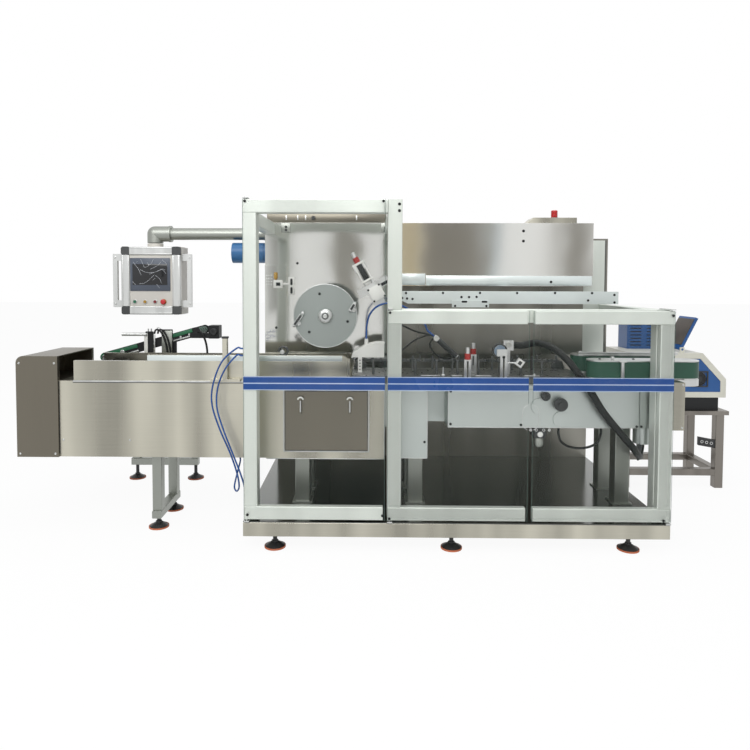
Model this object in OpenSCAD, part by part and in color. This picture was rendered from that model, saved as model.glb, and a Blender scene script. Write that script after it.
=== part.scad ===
// Automatic cartoner: product infeed, rotary carton feeder, carton chain bed, discharge side belts,
// hinged guard doors, swivelling control pendant and a hot-melt unit on its own table.

/* [Base] */
// Length of the welded base
base_l = 2360; // [2200:10:2700]
// Depth of the welded base
base_d = 1350; // [1320:10:1500]
// Side of the square base tube
base_tube = 80; // [60:5:100]
// Height of the base above the floor
base_lift = 80; // [70:5:110]
// Thickness of the drip tray
tray_t = 4; // [3:1:6]
// Diameter of a levelling foot's rubber
rubber_d = 120; // [100:5:140]
// Thickness of a levelling foot's rubber
rubber_t = 9; // [6:1:14]
// Diameter of a levelling foot's cup
cup_d = 112; // [80:2:116]
// Diameter of a levelling screw
screw_d = 24; // [16:2:30]

/* [Guard doors] */
// Width of the door tubes
stile_w = 74; // [60:2:80]
// Depth of the door tubes
door_t = 40; // [36:2:44]
// Thickness of the clear panes
pane_t = 6; // [4:1:8]
// Gap under the doors
door_lift = 12; // [10:1:20]
// Height of the tall door
tall_door_h = 1771; // [1700:1:1850]
// Height of the two low doors
low_door_h = 1166; // [1100:1:1250]
// Width of the tall door
tall_door_w = 780; // [740:2:800]
// Width of the middle door
middle_door_w = 772; // [740:2:820]
// Gap between the tall door and the middle door
door_gap = 14; // [12:1:20]
// Gap between the middle door and the right door
hand_gap = 22; // [18:1:30]
// Diameter of the hinge pins
hinge_pin_d = 10; // [8:1:12]
// Width of the finger hole across both panes
finger_w = 86; // [70:2:100]
// Height of the finger hole
finger_h = 140; // [110:2:160]
// Height of the finger hole's middle above the floor
finger_z = 757; // [650:1:820]

/* [Guard frame] */
// Depth of the guard posts
post_t = 74; // [60:2:80]
// Width of the post between the tall and low bays
mid_post_w = 80; // [70:2:90]
// Gap between the doors and the guard posts
post_gap = 12; // [10:1:16]

/* [Bed] */
// Height of the working deck
deck_z = 907; // [880:1:940]
// Underside of the bed housing
bed_z = 446; // [420:1:470]
// Front face of the bed housing and infeed
bed_y = 250; // [230:1:270]
// Depth of the bed housing and infeed
bed_d = 460; // [430:5:480]
// Left end of the bed housing
bed_x = 90; // [60:5:120]
// Right end of the bed housing
bed_end_x = 793; // [770:1:796]
// Width of the access panel
access_w = 490; // [420:5:520]
// Height of the access panel
access_h = 355; // [300:5:380]
// Side of the bed legs
leg_w = 88; // [70:2:90]
// Front face of the carton bed
carton_y = 152; // [145:1:170]
// Underside of the carton bed
carton_z = 665; // [640:5:690]
// Underside of the drive box at the bed's left end
drive_z = 484; // [460:2:520]
// Distance of the carton bed's right end from the base's end
carton_in = 18; // [10:1:40]
// Thickness of the front plates
plate_t = 10; // [6:1:12]

/* [Carton chain] */
// Left end of the chain track
chain_x = 600; // [560:5:640]
// Distance between the pins of the chain
link_pitch = 31; // [26:1:34]
// Height of the chain's links
link_h = 22; // [18:1:24]
// Width of the chain
link_w = 18; // [14:1:24]
// Distance between carton lugs
lug_pitch = 124; // [110:2:180]
// Height of the carton lugs above the track
lug_h = 84; // [70:2:110]
// Height of the chain track above the deck
track_h = 44; // [36:2:56]

/* [Rotary feeder] */
// Place of the feeder's axis along the machine
rotor_x = 438; // [420:1:450]
// Height of the feeder's axis
rotor_z = 1294; // [1280:1:1320]
// Front face of the feeder disc
rotor_y = 300; // [280:5:320]
// Diameter of the feeder disc
disc_d = 382; // [360:2:390]
// Thickness of the feeder disc
disc_t = 14; // [10:1:18]
// Diameter of the hub
hub_d = 84; // [70:2:100]
// Diameter of the rotor shaft
shaft_d = 60; // [50:2:70]
// Radius of the circle of suction heads
head_r = 136; // [120:2:145]

/* [Housings] */
// Front face of the feeder housing and hood
wall_y = 720; // [715:5:760]
// Depth of the feeder housing and hood
wall_d = 200; // [160:10:240]
// Top of the feeder housing and hood
wall_top = 1886; // [1840:2:1920]
// Underside of the hood
hood_z = 1538; // [1500:2:1580]
// Distance of the hood's right end from the base's end
hood_in = 190; // [120:5:260]
// Top of the rear cabinet
cabinet_top = 1798; // [1760:2:1830]
// Underside of the rear cabinet
cabinet_z = 1000; // [960:5:1040]
// Thickness of the rear panel
rear_t = 20; // [10:1:30]
// Diameter of the feeder motor
motor_d = 137; // [120:1:150]
// Length of the feeder motor
motor_l = 233; // [200:1:260]

/* [Magazine] */
// Height of the magazine rail
rail_h = 78; // [60:1:90]
// Underside of the magazine rail
rail_z = 1362; // [1356:1:1370]
// Front face of the magazine rail
rail_y = 500; // [480:5:520]
// Depth of the magazine rail
rail_d = 40; // [30:2:50]
// Distance of the magazine rail's right end from the base's end
rail_in = 108; // [60:2:160]

/* [Infeed] */
// Length of the infeed outside the guard
infeed_l = 1143; // [1100:1:1250]
// Length of the infeed end cover
cover_l = 248; // [220:2:280]
// Height of the end cover above the deck
cover_rise = 147; // [130:1:170]
// Radius of the end cover's rounded corner
cover_r = 42; // [20:2:60]
// Height of the product guides
guide_h = 118; // [100:1:130]
// Thickness of the product guides
guide_t = 5; // [3:1:8]
// Distance between product buckets
bucket_pitch = 152; // [130:2:180]
// Height of the product buckets
bucket_h = 84; // [60:2:100]
// Side of the infeed stand's tube
stand_w = 58; // [50:2:70]
// Distance of the infeed stand from the base
stand_x = 552; // [500:2:600]

/* [Leaflet feeder] */
// Slope of the leaflet conveyor
leaflet_tilt = 15.6; // [10:0.2:20]
// Length of the leaflet conveyor
leaflet_l = 700; // [600:10:760]
// Width of the leaflet conveyor
leaflet_w = 240; // [200:10:280]
// Side of the leaflet stand's tube
leaflet_tube = 52; // [40:2:60]

/* [Control pendant] */
// Width of the pendant case
case_w = 396; // [360:2:420]
// Height of the pendant case
case_h = 452; // [420:2:480]
// Depth of the pendant case
case_d = 150; // [120:2:180]
// Distance of the pendant's pivot from the base
pendant_x = 752; // [740:2:800]
// Height of the pendant arm
arm_z = 1818; // [1800:2:1830]
// Diameter of the pendant arm
arm_d = 80; // [60:2:84]

/* [Discharge] */
// Length of the discharge belts that lies over the base
belt_lap = 398; // [380:2:420]
// Length of the discharge belts
belt_l = 638; // [560:1:680]
// Width of a discharge belt's loop
belt_w = 140; // [120:2:150]
// Height of the discharge belts
belt_h = 92; // [70:2:110]
// Thickness of the discharge belts
belt_t = 4; // [3:1:6]
// Front face of the front discharge belt
belt_y = 145; // [140:1:150]
// Clear path between the discharge belts
path_w = 145; // [120:5:180]

/* [Hot-melt unit] */
// Gap between the base and the table
table_gap = 170; // [140:5:240]
// Length of the table
table_l = 776; // [740:2:820]
// Front edge of the table
table_y = 1100; // [1060:5:1140]
// Depth of the table
table_d = 500; // [480:5:540]
// Height of the table
table_z = 569; // [540:1:600]
// Side of the table's tube
table_tube = 60; // [50:2:70]
// Length of the hot-melt body
melter_l = 696; // [680:2:700]
// Height of the hot-melt body above the table
melter_h = 417; // [400:1:440]
// Height of the louvred tower above the table
tower_h = 667; // [640:1:690]
// Length of the tank lid
lid_l = 254; // [230:2:260]
// Lean of the open lid past upright
lid_lean = 26; // [15:1:35]

/* [Hidden] */

$fn = 48;

// Shared clearances and small sheet sizes
weld_gap = 0.3;
seat = 0.3;
run_fit = 0.05;
swing_gap = 5;
edge_r = 5;
sheet_t = 6;

// Finishes
steel = [0.66, 0.65, 0.62];
tube_paint = [0.80, 0.82, 0.80];
dark_steel = [0.25, 0.25, 0.25];
bed_grey = [0.74, 0.75, 0.74];
black = [0.10, 0.10, 0.11];
silver = [0.82, 0.82, 0.82];
belt_green = [0.05, 0.25, 0.17];
melter_blue = [0.10, 0.36, 0.66];
cream = [0.84, 0.82, 0.74];
orange = [0.80, 0.40, 0.25];
red = [0.70, 0.12, 0.10];

// Levels and lines of the base and guard
rail_lo = base_lift;
rail_hi = base_lift + base_tube;
tray_top = rail_hi + tray_t;
door_z = tray_top + door_lift;
tall_top = door_z + tall_door_h;
low_top = door_z + low_door_h;
door_edge = 6;
tall_x = [door_edge, door_edge + tall_door_w];
middle_x = [tall_x[1] + door_gap, tall_x[1] + door_gap + middle_door_w];
right_x = [middle_x[1] + hand_gap, base_l];
hinge_in = 14;
hinge_y = 10;
rail_setback = 10;
pin_l = 30;
post_y = [door_t + post_gap, door_t + post_gap + post_t];
mid_post_x = [middle_x[0], middle_x[0] + mid_post_w];
bracket_t = 6;
frame_top = tall_top + swing_gap;
low_frame_top = low_top + swing_gap;

// Lines of the bed, housings and infeed
bed_back = bed_y + bed_d;
wall_back = wall_y + wall_d;
wall_x = 10;
cabinet_front = wall_back;
rear_front = base_d - rear_t;
carton_end_x = base_l - carton_in;
recess_x = [1035, 1150];
hood_end_x = base_l - hood_in;
belt_x = base_l - belt_lap;
chain_end_x = belt_x - 2 * swing_gap;
infeed_x = -infeed_l;
cover_x = infeed_x - cover_l;
body_z = bed_z + 6;
guide_end_x = chain_x - 14;
table_x = base_l + table_gap;
table_end = table_x + table_l;
table_back = table_y + table_d;

// Whole machine, to place the origin under its middle
pivot_lip = 3;
front_line = -pane_t - pivot_lip;
mid_x = (cover_x + table_end) / 2;
mid_y = (front_line + table_back) / 2;

// Places the machine's own coordinates about the origin
module home() {
    translate([-mid_x, -mid_y, 0]) children();
}

// Plain bar between two corners, each axis as [low, high]
module bar(x, y, z) {
    translate([x[0], y[0], z[0]]) cube([x[1] - x[0], y[1] - y[0], z[1] - z[0]]);
}

// Rectangle with round corners
module round_rect(w, h, r) {
    translate([r, 0]) square([w - 2 * r, h]);
    translate([0, r]) square([w, h - 2 * r]);
    for (u = [r, w - r], v = [r, h - r]) translate([u, v]) circle(r = r);
}

// Outline across the machine, drawn in Y and Z, run along X
module along_x(x) {
    translate([x[0], 0, 0]) rotate([90, 0, 90]) linear_extrude(x[1] - x[0]) children();
}

// Outline of the front view, drawn in X and Z, run along Y
module along_y(y) {
    translate([0, y[1], 0]) rotate([90, 0, 0]) linear_extrude(y[1] - y[0]) children();
}

// Outline of the plan, drawn in X and Y, run along Z
module along_z(z) {
    translate([0, 0, z[0]]) linear_extrude(z[1] - z[0]) children();
}

module tube_x(x, y, z) {
    along_x(x) translate([y[0], z[0]]) round_rect(y[1] - y[0], z[1] - z[0], edge_r);
}

module tube_y(x, y, z) {
    along_y(y) translate([x[0], z[0]]) round_rect(x[1] - x[0], z[1] - z[0], edge_r);
}

module tube_z(x, y, z) {
    along_z(z) translate([x[0], y[0]]) round_rect(x[1] - x[0], y[1] - y[0], edge_r);
}

module rod_x(x, y, z, d) {
    translate([x[0], y, z]) rotate([0, 90, 0]) cylinder(d = d, h = x[1] - x[0]);
}

module rod_y(x, y, z, d) {
    translate([x, y[1], z]) rotate([90, 0, 0]) cylinder(d = d, h = y[1] - y[0]);
}

module rod_z(x, y, z, d) {
    translate([x, y, z[0]]) cylinder(d = d, h = z[1] - z[0]);
}

// Plan of a belt or plate with round ends
module stadium(l, w) {
    translate([w / 2, 0]) square([l - w, w]);
    for (u = [w / 2, l - w / 2]) translate([u, w / 2]) circle(d = w, $fn = 64);
}

function middle(span) = (span[0] + span[1]) / 2;
function around(centre, width) = [centre - width / 2, centre + width / 2];

// Levelling feet

base_foot_x = [170, base_l / 2 - 15, base_l - 204];
base_foot_y = [base_tube / 2 + 20, base_d - base_tube / 2 - 20];
stand_foot_y = [bed_y + 80, bed_back - 80];
leaflet_foot_x = [infeed_x + 82, infeed_x + 527];
leaflet_y = [1244, 1244 + leaflet_tube];
stand_mid_x = -stand_x - stand_w / 2;
cup_h = 20;
foot_nut_d = screw_d * 1.6;
foot_nut_h = 10;
stand_beam_z = [64, 64 + stand_w - 12];
leaflet_beam_z = [105, 105 + leaflet_tube];

// One foot's place and the underside that its screw carries
foot_places = concat(
    [for (x = base_foot_x, y = base_foot_y) [x, y, rail_lo]],
    [for (y = stand_foot_y) [stand_mid_x, y, stand_beam_z[0]]],
    [for (x = leaflet_foot_x) [x, middle(leaflet_y), leaflet_beam_z[0]]]);

module levelling_feet() {
    color(dark_steel) home() for (f = foot_places) translate([f[0], f[1], rubber_t]) {
        cylinder(d1 = cup_d, d2 = screw_d * 2, h = cup_h);
        cylinder(d = screw_d, h = f[2] - rubber_t);
        translate([0, 0, cup_h]) cylinder(d = foot_nut_d, h = foot_nut_h, $fn = 6);
    }
}

module foot_rubbers() {
    color(orange) home() for (f = foot_places) translate([f[0], f[1], 0])
        cylinder(d = rubber_d, h = rubber_t);
}

// Welded base

cross_rail_x = [0, base_foot_x[0] + 2 * base_tube, base_foot_x[1] - base_tube / 2,
    base_foot_x[2] - 2 * base_tube, base_l - base_tube];

module base_rails() {
    color(steel) home() {
        for (y = [0, base_d - base_tube])
            tube_x([0, base_l], [y, y + base_tube], [rail_lo, rail_hi]);
        for (x = cross_rail_x)
            tube_y([x, x + base_tube], [base_tube + weld_gap, base_d - base_tube - weld_gap],
                [rail_lo, rail_hi]);
    }
}

module drip_tray() {
    color(dark_steel) home() bar([0, base_l], [0, base_d], [rail_hi, tray_top]);
}

leg_foot_t = 8;
leg_foot_w = leg_w + 30;
leg_y = [bed_y + 110, bed_back - 80];
leg_places = [for (leg = [[bed_x + 208, bed_z], [recess_x[0] - 56, drive_z], [base_l - 139, carton_z]],
    y = leg_y) [leg[0], y, leg[1]]];

module bed_legs() {
    color(bed_grey) home() for (p = leg_places) {
        tube_z(around(p[0], leg_w), around(p[1], leg_w), [tray_top + leg_foot_t / 2, p[2]]);
        bar(around(p[0], leg_foot_w), around(p[1], leg_foot_w), [tray_top, tray_top + leg_foot_t]);
    }
}

// Guard frame: posts, top tubes and the tubes that run back to the housings

left_post_x = [0, stile_w];
right_post_x = [base_l - stile_w, base_l];
tall_rail_z = [frame_top - stile_w, frame_top];
low_rail_z = [low_frame_top - stile_w, low_frame_top];

module guard_frame() {
    color(tube_paint) home() {
        tube_z(left_post_x, post_y, [tray_top, frame_top]);
        tube_z(mid_post_x, post_y, [tray_top, frame_top]);
        tube_z(right_post_x, post_y, [tray_top, low_frame_top]);
        tube_x([left_post_x[1] + weld_gap, mid_post_x[0] - weld_gap], post_y, tall_rail_z);
        tube_x([mid_post_x[1] + weld_gap, right_post_x[0] - weld_gap], post_y, low_rail_z);
        for (x = [left_post_x, mid_post_x])
            tube_y(x, [post_y[1] + weld_gap, wall_y - seat], tall_rail_z - [wall_drop, wall_drop]);
        tube_y(right_post_x, [post_y[1] + weld_gap, cabinet_front - seat], low_rail_z);
    }
}
wall_drop = frame_top - wall_top;

// Hinge pins of the three doors: a block on the tray below, a plate on the post above

hinge_x = [tall_x[0] + hinge_in, middle_x[0] + hinge_in, right_x[1] - hinge_in];
hinge_top = [tall_top, low_top, low_top];
pivot_y = [front_line, 2 * hinge_y + 12];

module door_pivots() {
    color(silver) home() for (i = [0 : 2]) {
        rod_z(hinge_x[i], hinge_y, [tray_top + 1, door_z + pin_l], hinge_pin_d);
        bar(around(hinge_x[i], hinge_in * 2), pivot_y, [tray_top, door_z - swing_gap]);
        rod_z(hinge_x[i], hinge_y, [hinge_top[i] - pin_l, frame_plate(i) + bracket_t / 2], hinge_pin_d);
        bar(around(hinge_x[i], hinge_in * 2), [front_line, plate_back(i)],
            [frame_plate(i), frame_plate(i) + bracket_t]);
    }
}
function frame_plate(i) = hinge_top[i] + swing_gap;
function plate_back(i) = i == 1 ? post_y[0] : post_y[1];

// Door tubes: a rail along the top and one along the bottom, with a stile between them on the hinge side

module door_tubes(x, top, hinge, stile) {
    rails = stile == x[0] ? [x[0], x[1] - rail_setback] : [x[0] + rail_setback, x[1]];
    difference() {
        for (z = [door_z, top - stile_w])
            tube_x(rails, [0, door_t], [z, z + stile_w]);
        for (z = [[door_z - 1, door_z + pin_l + seat], [top - pin_l - seat, top + 1]])
            rod_z(hinge, hinge_y, z, hinge_pin_d + 2 * run_fit);
    }
    tube_z([stile, stile + stile_w], [0, door_t], [door_z + stile_w + weld_gap, top - stile_w - weld_gap]);
}

// Clear pane in front of the door tubes
module door_glass(x, top) {
    bar(x, [-pane_t, 0], [door_z, top]);
}

// Finger hole shared by the middle and right panes
finger_x = (middle_x[1] + right_x[0]) / 2;

module finger_hole() {
    along_y([-pane_t - 1, 1]) for (z = around(finger_z, finger_h - finger_w)) {
        translate([finger_x, z]) circle(d = finger_w);
        translate([finger_x - finger_w / 2, finger_z - (finger_h - finger_w) / 2])
            square([finger_w, finger_h - finger_w]);
    }
}

module left_door_frame() {
    color(tube_paint) home() door_tubes(tall_x, tall_top, hinge_x[0], tall_x[0]);
}

module left_door_pane() {
    color([0.8, 0.9, 0.9, 0.25]) home() door_glass(tall_x, tall_top);
}

module middle_door_frame() {
    color(tube_paint) home() door_tubes(middle_x, low_top, hinge_x[1], middle_x[0]);
}

module middle_door_pane() {
    color([0.8, 0.9, 0.9, 0.25]) home() difference() {
        door_glass(middle_x, low_top);
        finger_hole();
    }
}

module right_door_frame() {
    color(tube_paint) home() door_tubes(right_x, low_top, hinge_x[2], right_x[1] - stile_w);
}

module right_door_pane() {
    color([0.8, 0.9, 0.9, 0.25]) home() difference() {
        door_glass(right_x, low_top);
        finger_hole();
    }
}

// Housings behind the working area

side_cover_x = [wall_x, wall_x + 145];
side_cover_z = [deck_z + 100, deck_z + 700];
side_cover_t = 12;

// Rear panel with the cabinet on its inner face and plain door leaves on its back
leaf_count = 3;
leaf_t = 3;
leaf_margin = 60;
leaf_pitch = (base_l - leaf_margin) / leaf_count;

module rear_cabinet() {
    color(steel) home() {
        for (i = [0 : leaf_count - 1]) bar([leaf_margin + i * leaf_pitch, (i + 1) * leaf_pitch],
            [base_d - 1, base_d + leaf_t], [tray_top + leaf_margin, cabinet_top - leaf_margin]);
        bar([0, base_l], [rear_front, base_d], [tray_top, cabinet_top]);
        bar([wall_x, carton_end_x], [cabinet_front, rear_front + 1], [cabinet_z, cabinet_top]);
    }
}

// Wall of the tall bay with the cover at its left edge
module feeder_housing() {
    color(steel) home() {
        bar([wall_x, mid_post_x[1]], [wall_y, wall_back], [deck_z, wall_top]);
        bar(side_cover_x, [wall_y - side_cover_t, wall_y + 1], side_cover_z);
    }
}

hood_bar_h = 66;
hood_bar_y = [wall_y - 12, wall_y + 60];
hood_bar_in = 8;
cover_plate_l = 190;
cover_plate_t = 4;
cover_plate_rise = 18;

module hood() {
    color(steel) home() {
        bar([mid_post_x[1], hood_end_x], [wall_y, wall_back], [hood_z, wall_top]);
        bar([mid_post_x[1] + hood_bar_in, hood_end_x - hood_bar_in], hood_bar_y,
            [hood_z - hood_bar_h, hood_z + 1]);
        bar([mid_post_x[1] + hood_bar_in, mid_post_x[1] + cover_plate_l],
            [hood_bar_y[0] - cover_plate_t, hood_bar_y[0] + 1],
            [hood_z - hood_bar_h, hood_z + cover_plate_rise]);
    }
}

// Magazine rail with the arms that carry it from the rear cabinet

rail_cut = [42, 20];
rail_x = [mid_post_x[1] + 19, base_l - rail_in];
arm_w = 50;
arm_x = [rail_x[0] + 120, middle(rail_x), rail_x[1] - 160];
arm_rise = [15, 20];
bracket_x = [rail_x[0] + 317, rail_x[0] + 547];
bracket_z = [rail_z - 22, rail_z + 22];

module magazine_rails() {
    color(silver) home() {
        along_y([rail_y, rail_y + rail_d]) polygon([[rail_x[0] + rail_cut[0], rail_z], [rail_x[1], rail_z],
            [rail_x[1], rail_z + rail_h], [rail_x[0], rail_z + rail_h], [rail_x[0], rail_z + rail_cut[1]]]);
        for (x = arm_x)
            bar([x, x + arm_w], [rail_y + rail_d + weld_gap, cabinet_front],
                [rail_z + arm_rise[0], rail_z + rail_h - arm_rise[1]]);
        bar(bracket_x, [rail_y - plate_t, rail_y - weld_gap], bracket_z);
    }
}

beacon_x = [base_l - 618, base_l - 280];
beacon_y = [wall_y + 60, wall_back];
beacon_top = wall_top + 42;
beacon_slope = 50;
lamp_d = 46;
lamp_h = 56;
lamp_in = 130;

module beacon() {
    color(steel) home() along_y(beacon_y) polygon([[beacon_x[0], wall_top], [beacon_x[1], wall_top],
        [beacon_x[1], beacon_top], [beacon_x[0] + beacon_slope, beacon_top]]);
}

module beacon_lamp() {
    color(red) home()
        rod_z(beacon_x[1] - lamp_in, middle(beacon_y), [beacon_top, beacon_top + lamp_h], lamp_d);
}

// Bed housing with its access panel

module bed_housing() {
    color(steel) home() bar([bed_x, bed_end_x], [bed_y, bed_back], [bed_z, deck_z]);
}

access_x = [bed_x + 112, bed_x + 112 + access_w];
access_z = [bed_z + 53, bed_z + 53 + access_h];
access_t = 12;
hook_x = [access_x[0] + 95, access_x[1] - 105];
hook_out = 22;
hook_pin_d = 16;
hook_pin_z = access_z[1] - 42;
hook_stem_d = 12;
hook_stem_y = bed_y - access_t - 15;
hook_stem_z = [access_z[1] - 130, access_z[1] - 36];

module access_panel() {
    color(steel) home() {
        along_y([bed_y - access_t, bed_y]) translate([access_x[0], access_z[0]])
            round_rect(access_w, access_h, edge_r);
        for (x = hook_x) {
            rod_y(x, [bed_y - access_t - hook_out, bed_y - access_t + 1], hook_pin_z, hook_pin_d);
            rod_z(x, hook_stem_y, hook_stem_z, hook_stem_d);
        }
    }
}

// Carton bed: the closed housing under the carton chain, with its drive box at the left

recess_d = 150;
carton_back = bed_back - 20;
bed_motor = [base_l - 70, carton_y + 66];
bed_motor_d = 100;
bed_motor_h = 100;
drive_x = [bed_end_x + 92, recess_x[0]];

module carton_bed() {
    color(bed_grey) home() difference() {
        union() {
            bar([bed_end_x, carton_end_x], [carton_y, carton_back], [carton_z, deck_z]);
            bar(drive_x, [carton_y, carton_back], [drive_z, carton_z + 1]);
            rod_z(bed_motor[0], bed_motor[1], [carton_z - bed_motor_h, carton_z + 1], bed_motor_d);
        }
        bar(recess_x, [carton_y - 1, carton_y + recess_d], [carton_z - 1, deck_z + 1]);
    }
}

wheel_x = base_l - 576;
wheel_z = 806;
wheel_d = 76;
wheel_shaft_d = 14;
plate_y = [carton_y - plate_t, carton_y];
plate_top = deck_z - 22;
long_plate_x = [recess_x[1], base_l - 122];
end_plate_x = [long_plate_x[1] + 4, carton_end_x];
round_covers = [[base_l - 690, 790], [base_l - 565, 716]];
cover_d = 92;
cover_out = 6;
boss_d = wheel_shaft_d * 2.4;
boss_out = 8;
wheel_rim_y = [22, 40];
wheel_hub_y = [13, 46];
wheel_hub_d = 28;
wheel_shaft_out = 44;

module front_plates() {
    color(bed_grey) home() difference() {
        union() {
            bar(drive_x, plate_y, [drive_z, plate_top]);
            bar(long_plate_x, plate_y, [carton_z, plate_top]);
            bar(end_plate_x, plate_y, [carton_z, plate_top]);
            rod_y(wheel_x, [plate_y[0] - boss_out, plate_y[0] + 1], wheel_z, boss_d);
            for (c = round_covers) rod_y(c[0], [plate_y[0] - cover_out, plate_y[0] + 1], c[1], cover_d);
        }
        rod_y(wheel_x, [plate_y[0] - boss_out - 1, plate_y[1] - seat], wheel_z, wheel_shaft_d + 2 * run_fit);
    }
}

module handwheel() {
    color(black) home() {
        rod_y(wheel_x, [plate_y[0] - wheel_shaft_out, plate_y[1] - 2 * seat], wheel_z, wheel_shaft_d);
        rod_y(wheel_x, [plate_y[0] - wheel_rim_y[1], plate_y[0] - wheel_rim_y[0]], wheel_z, wheel_d);
        rod_y(wheel_x, [plate_y[0] - wheel_hub_y[1], plate_y[0] - wheel_hub_y[0]], wheel_z, wheel_hub_d);
    }
}

// Carton track with its upright lugs

chain_y = [carton_y + 50, bed_back - 165];
track_z = deck_z + track_h;
lug_d = 14;
lug_in = 60;
lug_count = floor((chain_end_x - chain_x - lug_pitch) / lug_pitch);

module carton_track() {
    color(dark_steel) home() {
        bar([chain_x, chain_end_x], chain_y, [deck_z, track_z]);
        for (i = [1 : lug_count], y = [chain_y[0] + lug_in, chain_y[1] - lug_in])
            rod_z(chain_x + i * lug_pitch, y, [track_z + seat, track_z + lug_h], lug_d);
    }
}

// Lug chain behind the track: an endless row of links whose pins wrap an eight-tooth wheel at each end.
// Both straight runs are whole pitches long, so the last link always meets the first.

teeth = 8;
turn = 360 / teeth;
half_turn = teeth / 2;
wheel_r = link_pitch / (2 * sin(turn / 2));
chain_rise = wheel_r + link_h / 2;
run = floor((chain_end_x - chain_x - 2 * chain_rise) / link_pitch);
links = 2 * run + teeth;
run_l = run * link_pitch;
chain_mid = [chain_x + chain_rise, deck_z + chain_rise];
chain_back_y = [chain_y[1] + 12, chain_y[1] + 12 + link_w];
chain_lugs = floor(run / half_turn);
axle_d = 22;
axle_plate_w = 50;
axle_plate_t = 10;

// Place of pin k on the loop, counted along the upper run and then round each wheel
function pin(k) = k <= run ? [k * link_pitch, wheel_r]
    : k <= run + half_turn ? [run_l + wheel_r * sin((k - run) * turn), wheel_r * cos((k - run) * turn)]
    : k <= 2 * run + half_turn ? [run_l - (k - run - half_turn) * link_pitch, -wheel_r]
    : [-wheel_r * sin((k - links) * turn + 180), -wheel_r * cos((k - links) * turn + 180)];

// One link: round ends about two pins with a narrower waist
module link(a, b) {
    translate(a) rotate(atan2(b[1] - a[1], b[0] - a[0])) {
        circle(d = link_h, $fn = 24);
        translate([0, -link_h / 3]) square([link_pitch, link_h * 2 / 3]);
    }
}

// Toothed wheel inside the loop: one hollow for each pin
module chain_wheel() {
    difference() {
        circle(r = wheel_r - link_h / 3 - seat);
        for (k = [0 : teeth - 1]) rotate(k * turn) translate([0, wheel_r]) circle(d = link_h + 2 * seat);
    }
}

module carton_chain() {
    color(dark_steel) home() translate([chain_mid[0], 0, chain_mid[1]]) {
        along_y(chain_back_y) for (k = [0 : links - 1]) link(pin(k), pin((k + 1) % links));
        for (x = [0, run_l]) {
            translate([x, 0, 0]) along_y(chain_back_y) chain_wheel();
            rod_y(x, [chain_back_y[0], chain_back_y[1] + axle_plate_t], 0, axle_d);
            bar(around(x, axle_plate_w), [chain_back_y[1] + weld_gap, chain_back_y[1] + axle_plate_t],
                [-chain_rise, axle_plate_w / 2]);
        }
        for (k = [1 : chain_lugs]) rod_z(k * half_turn * link_pitch, middle(chain_back_y),
            [chain_rise - 1, chain_rise + link_h], lug_d);
    }
}

// Setting units: slotted uprights with a clamp collar and a knob on top, a press wheel unit and a guide arm

slot_w = 10;
upright_w = 40;
upright_t = 12;
collar_d = 36;
collar_h = 34;
knob_d = 24;
knob_h = 34;
unit_y = carton_y + 8;
unit_x = [recess_x[1] + 114, recess_x[1] + 320, recess_x[1] + 180];
unit_h = [147, 176, 110];
units = [[unit_x[0], unit_y, deck_z, unit_h[0]], [unit_x[2], chain_y[0] + 160, track_z, unit_h[2]]];
wheel_unit_z = deck_z + 196;
press_wheel_d = 82;
press_wheel_t = 24;
unit_base_w = 86;
unit_base_t = 8;
sensor_at = [unit_x[1] + 92, deck_z + 128];
sensor_w = 44;
sensor_t = 14;
sensor_rod_d = 8;
sensor_turn = 35;
gun_x = [base_l - 860, base_l - 800];
gun_y = [310, 350];
gun_z = [1090, 1150];
stem_w = 24;

module slotted_upright(x, y, foot, height) {
    top = foot + height;
    difference() {
        bar(around(x, upright_w), [y, y + upright_t], [foot, top]);
        bar(around(x, slot_w), [y - 1, y + upright_t + 1], [foot + upright_w, top - slot_w]);
    }
}

module setting_unit(x, y, foot, height) {
    top = foot + height + collar_h;
    slotted_upright(x, y, foot, height);
    rod_z(x, y + upright_t / 2, [top, top + knob_h], knob_d);
}

// Press wheel unit: wheel on a plate over the upright, and a square sensor on a side rod
module press_unit() {
    x = unit_x[1];
    y = [unit_y, unit_y + upright_t];
    slotted_upright(x, unit_y, deck_z, unit_h[1]);
    bar(around(x, unit_base_w), [unit_y - unit_base_t / 2, chain_y[0] - unit_base_t],
        [deck_z, deck_z + unit_base_t]);
    bar([x - upright_w, x + upright_w / 2], y, [deck_z + unit_h[1] - slot_w, wheel_unit_z + slot_w]);
    rod_y(x - upright_w / 2, [y[1] - 1, y[1] + press_wheel_t], wheel_unit_z, press_wheel_d);
    rod_x([x + upright_w / 2 - 1, sensor_at[0]], middle(y), sensor_at[1], sensor_rod_d);
    translate([sensor_at[0], unit_y - 1, sensor_at[1]]) rotate([0, sensor_turn, 0])
        bar(around(0, sensor_w), [0, sensor_t], around(0, sensor_w));
}

// Guide arm over the track, on a post from the rear cabinet
guide_arm_top = [recess_x[1] - 54, 400, deck_z + 259];
guide_arm_lean = 42;
guide_arm_l = 188;
guide_arm_d = 30;
guide_post_d = 24;
guide_post_at = 46;

module guide_arm() {
    translate(guide_arm_top) rotate([0, 90 + guide_arm_lean, 0]) cylinder(d = guide_arm_d, h = guide_arm_l);
    rod_y(guide_arm_top[0] + guide_post_at * cos(guide_arm_lean), [guide_arm_top[1], cabinet_front],
        guide_arm_top[2] - guide_post_at * sin(guide_arm_lean), guide_post_d);
}

// Glue gun on its own stem over the track
module glue_gun() {
    bar(gun_x, gun_y, gun_z);
    bar(around(middle(gun_x), stem_w), around(middle(gun_y), stem_w), [track_z, gun_z[0] + 1]);
}

module setting_units() {
    color(silver) home() {
        for (u = units) setting_unit(u[0], u[1], u[2], u[3]);
        press_unit();
        guide_arm();
        glue_gun();
    }
}

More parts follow.
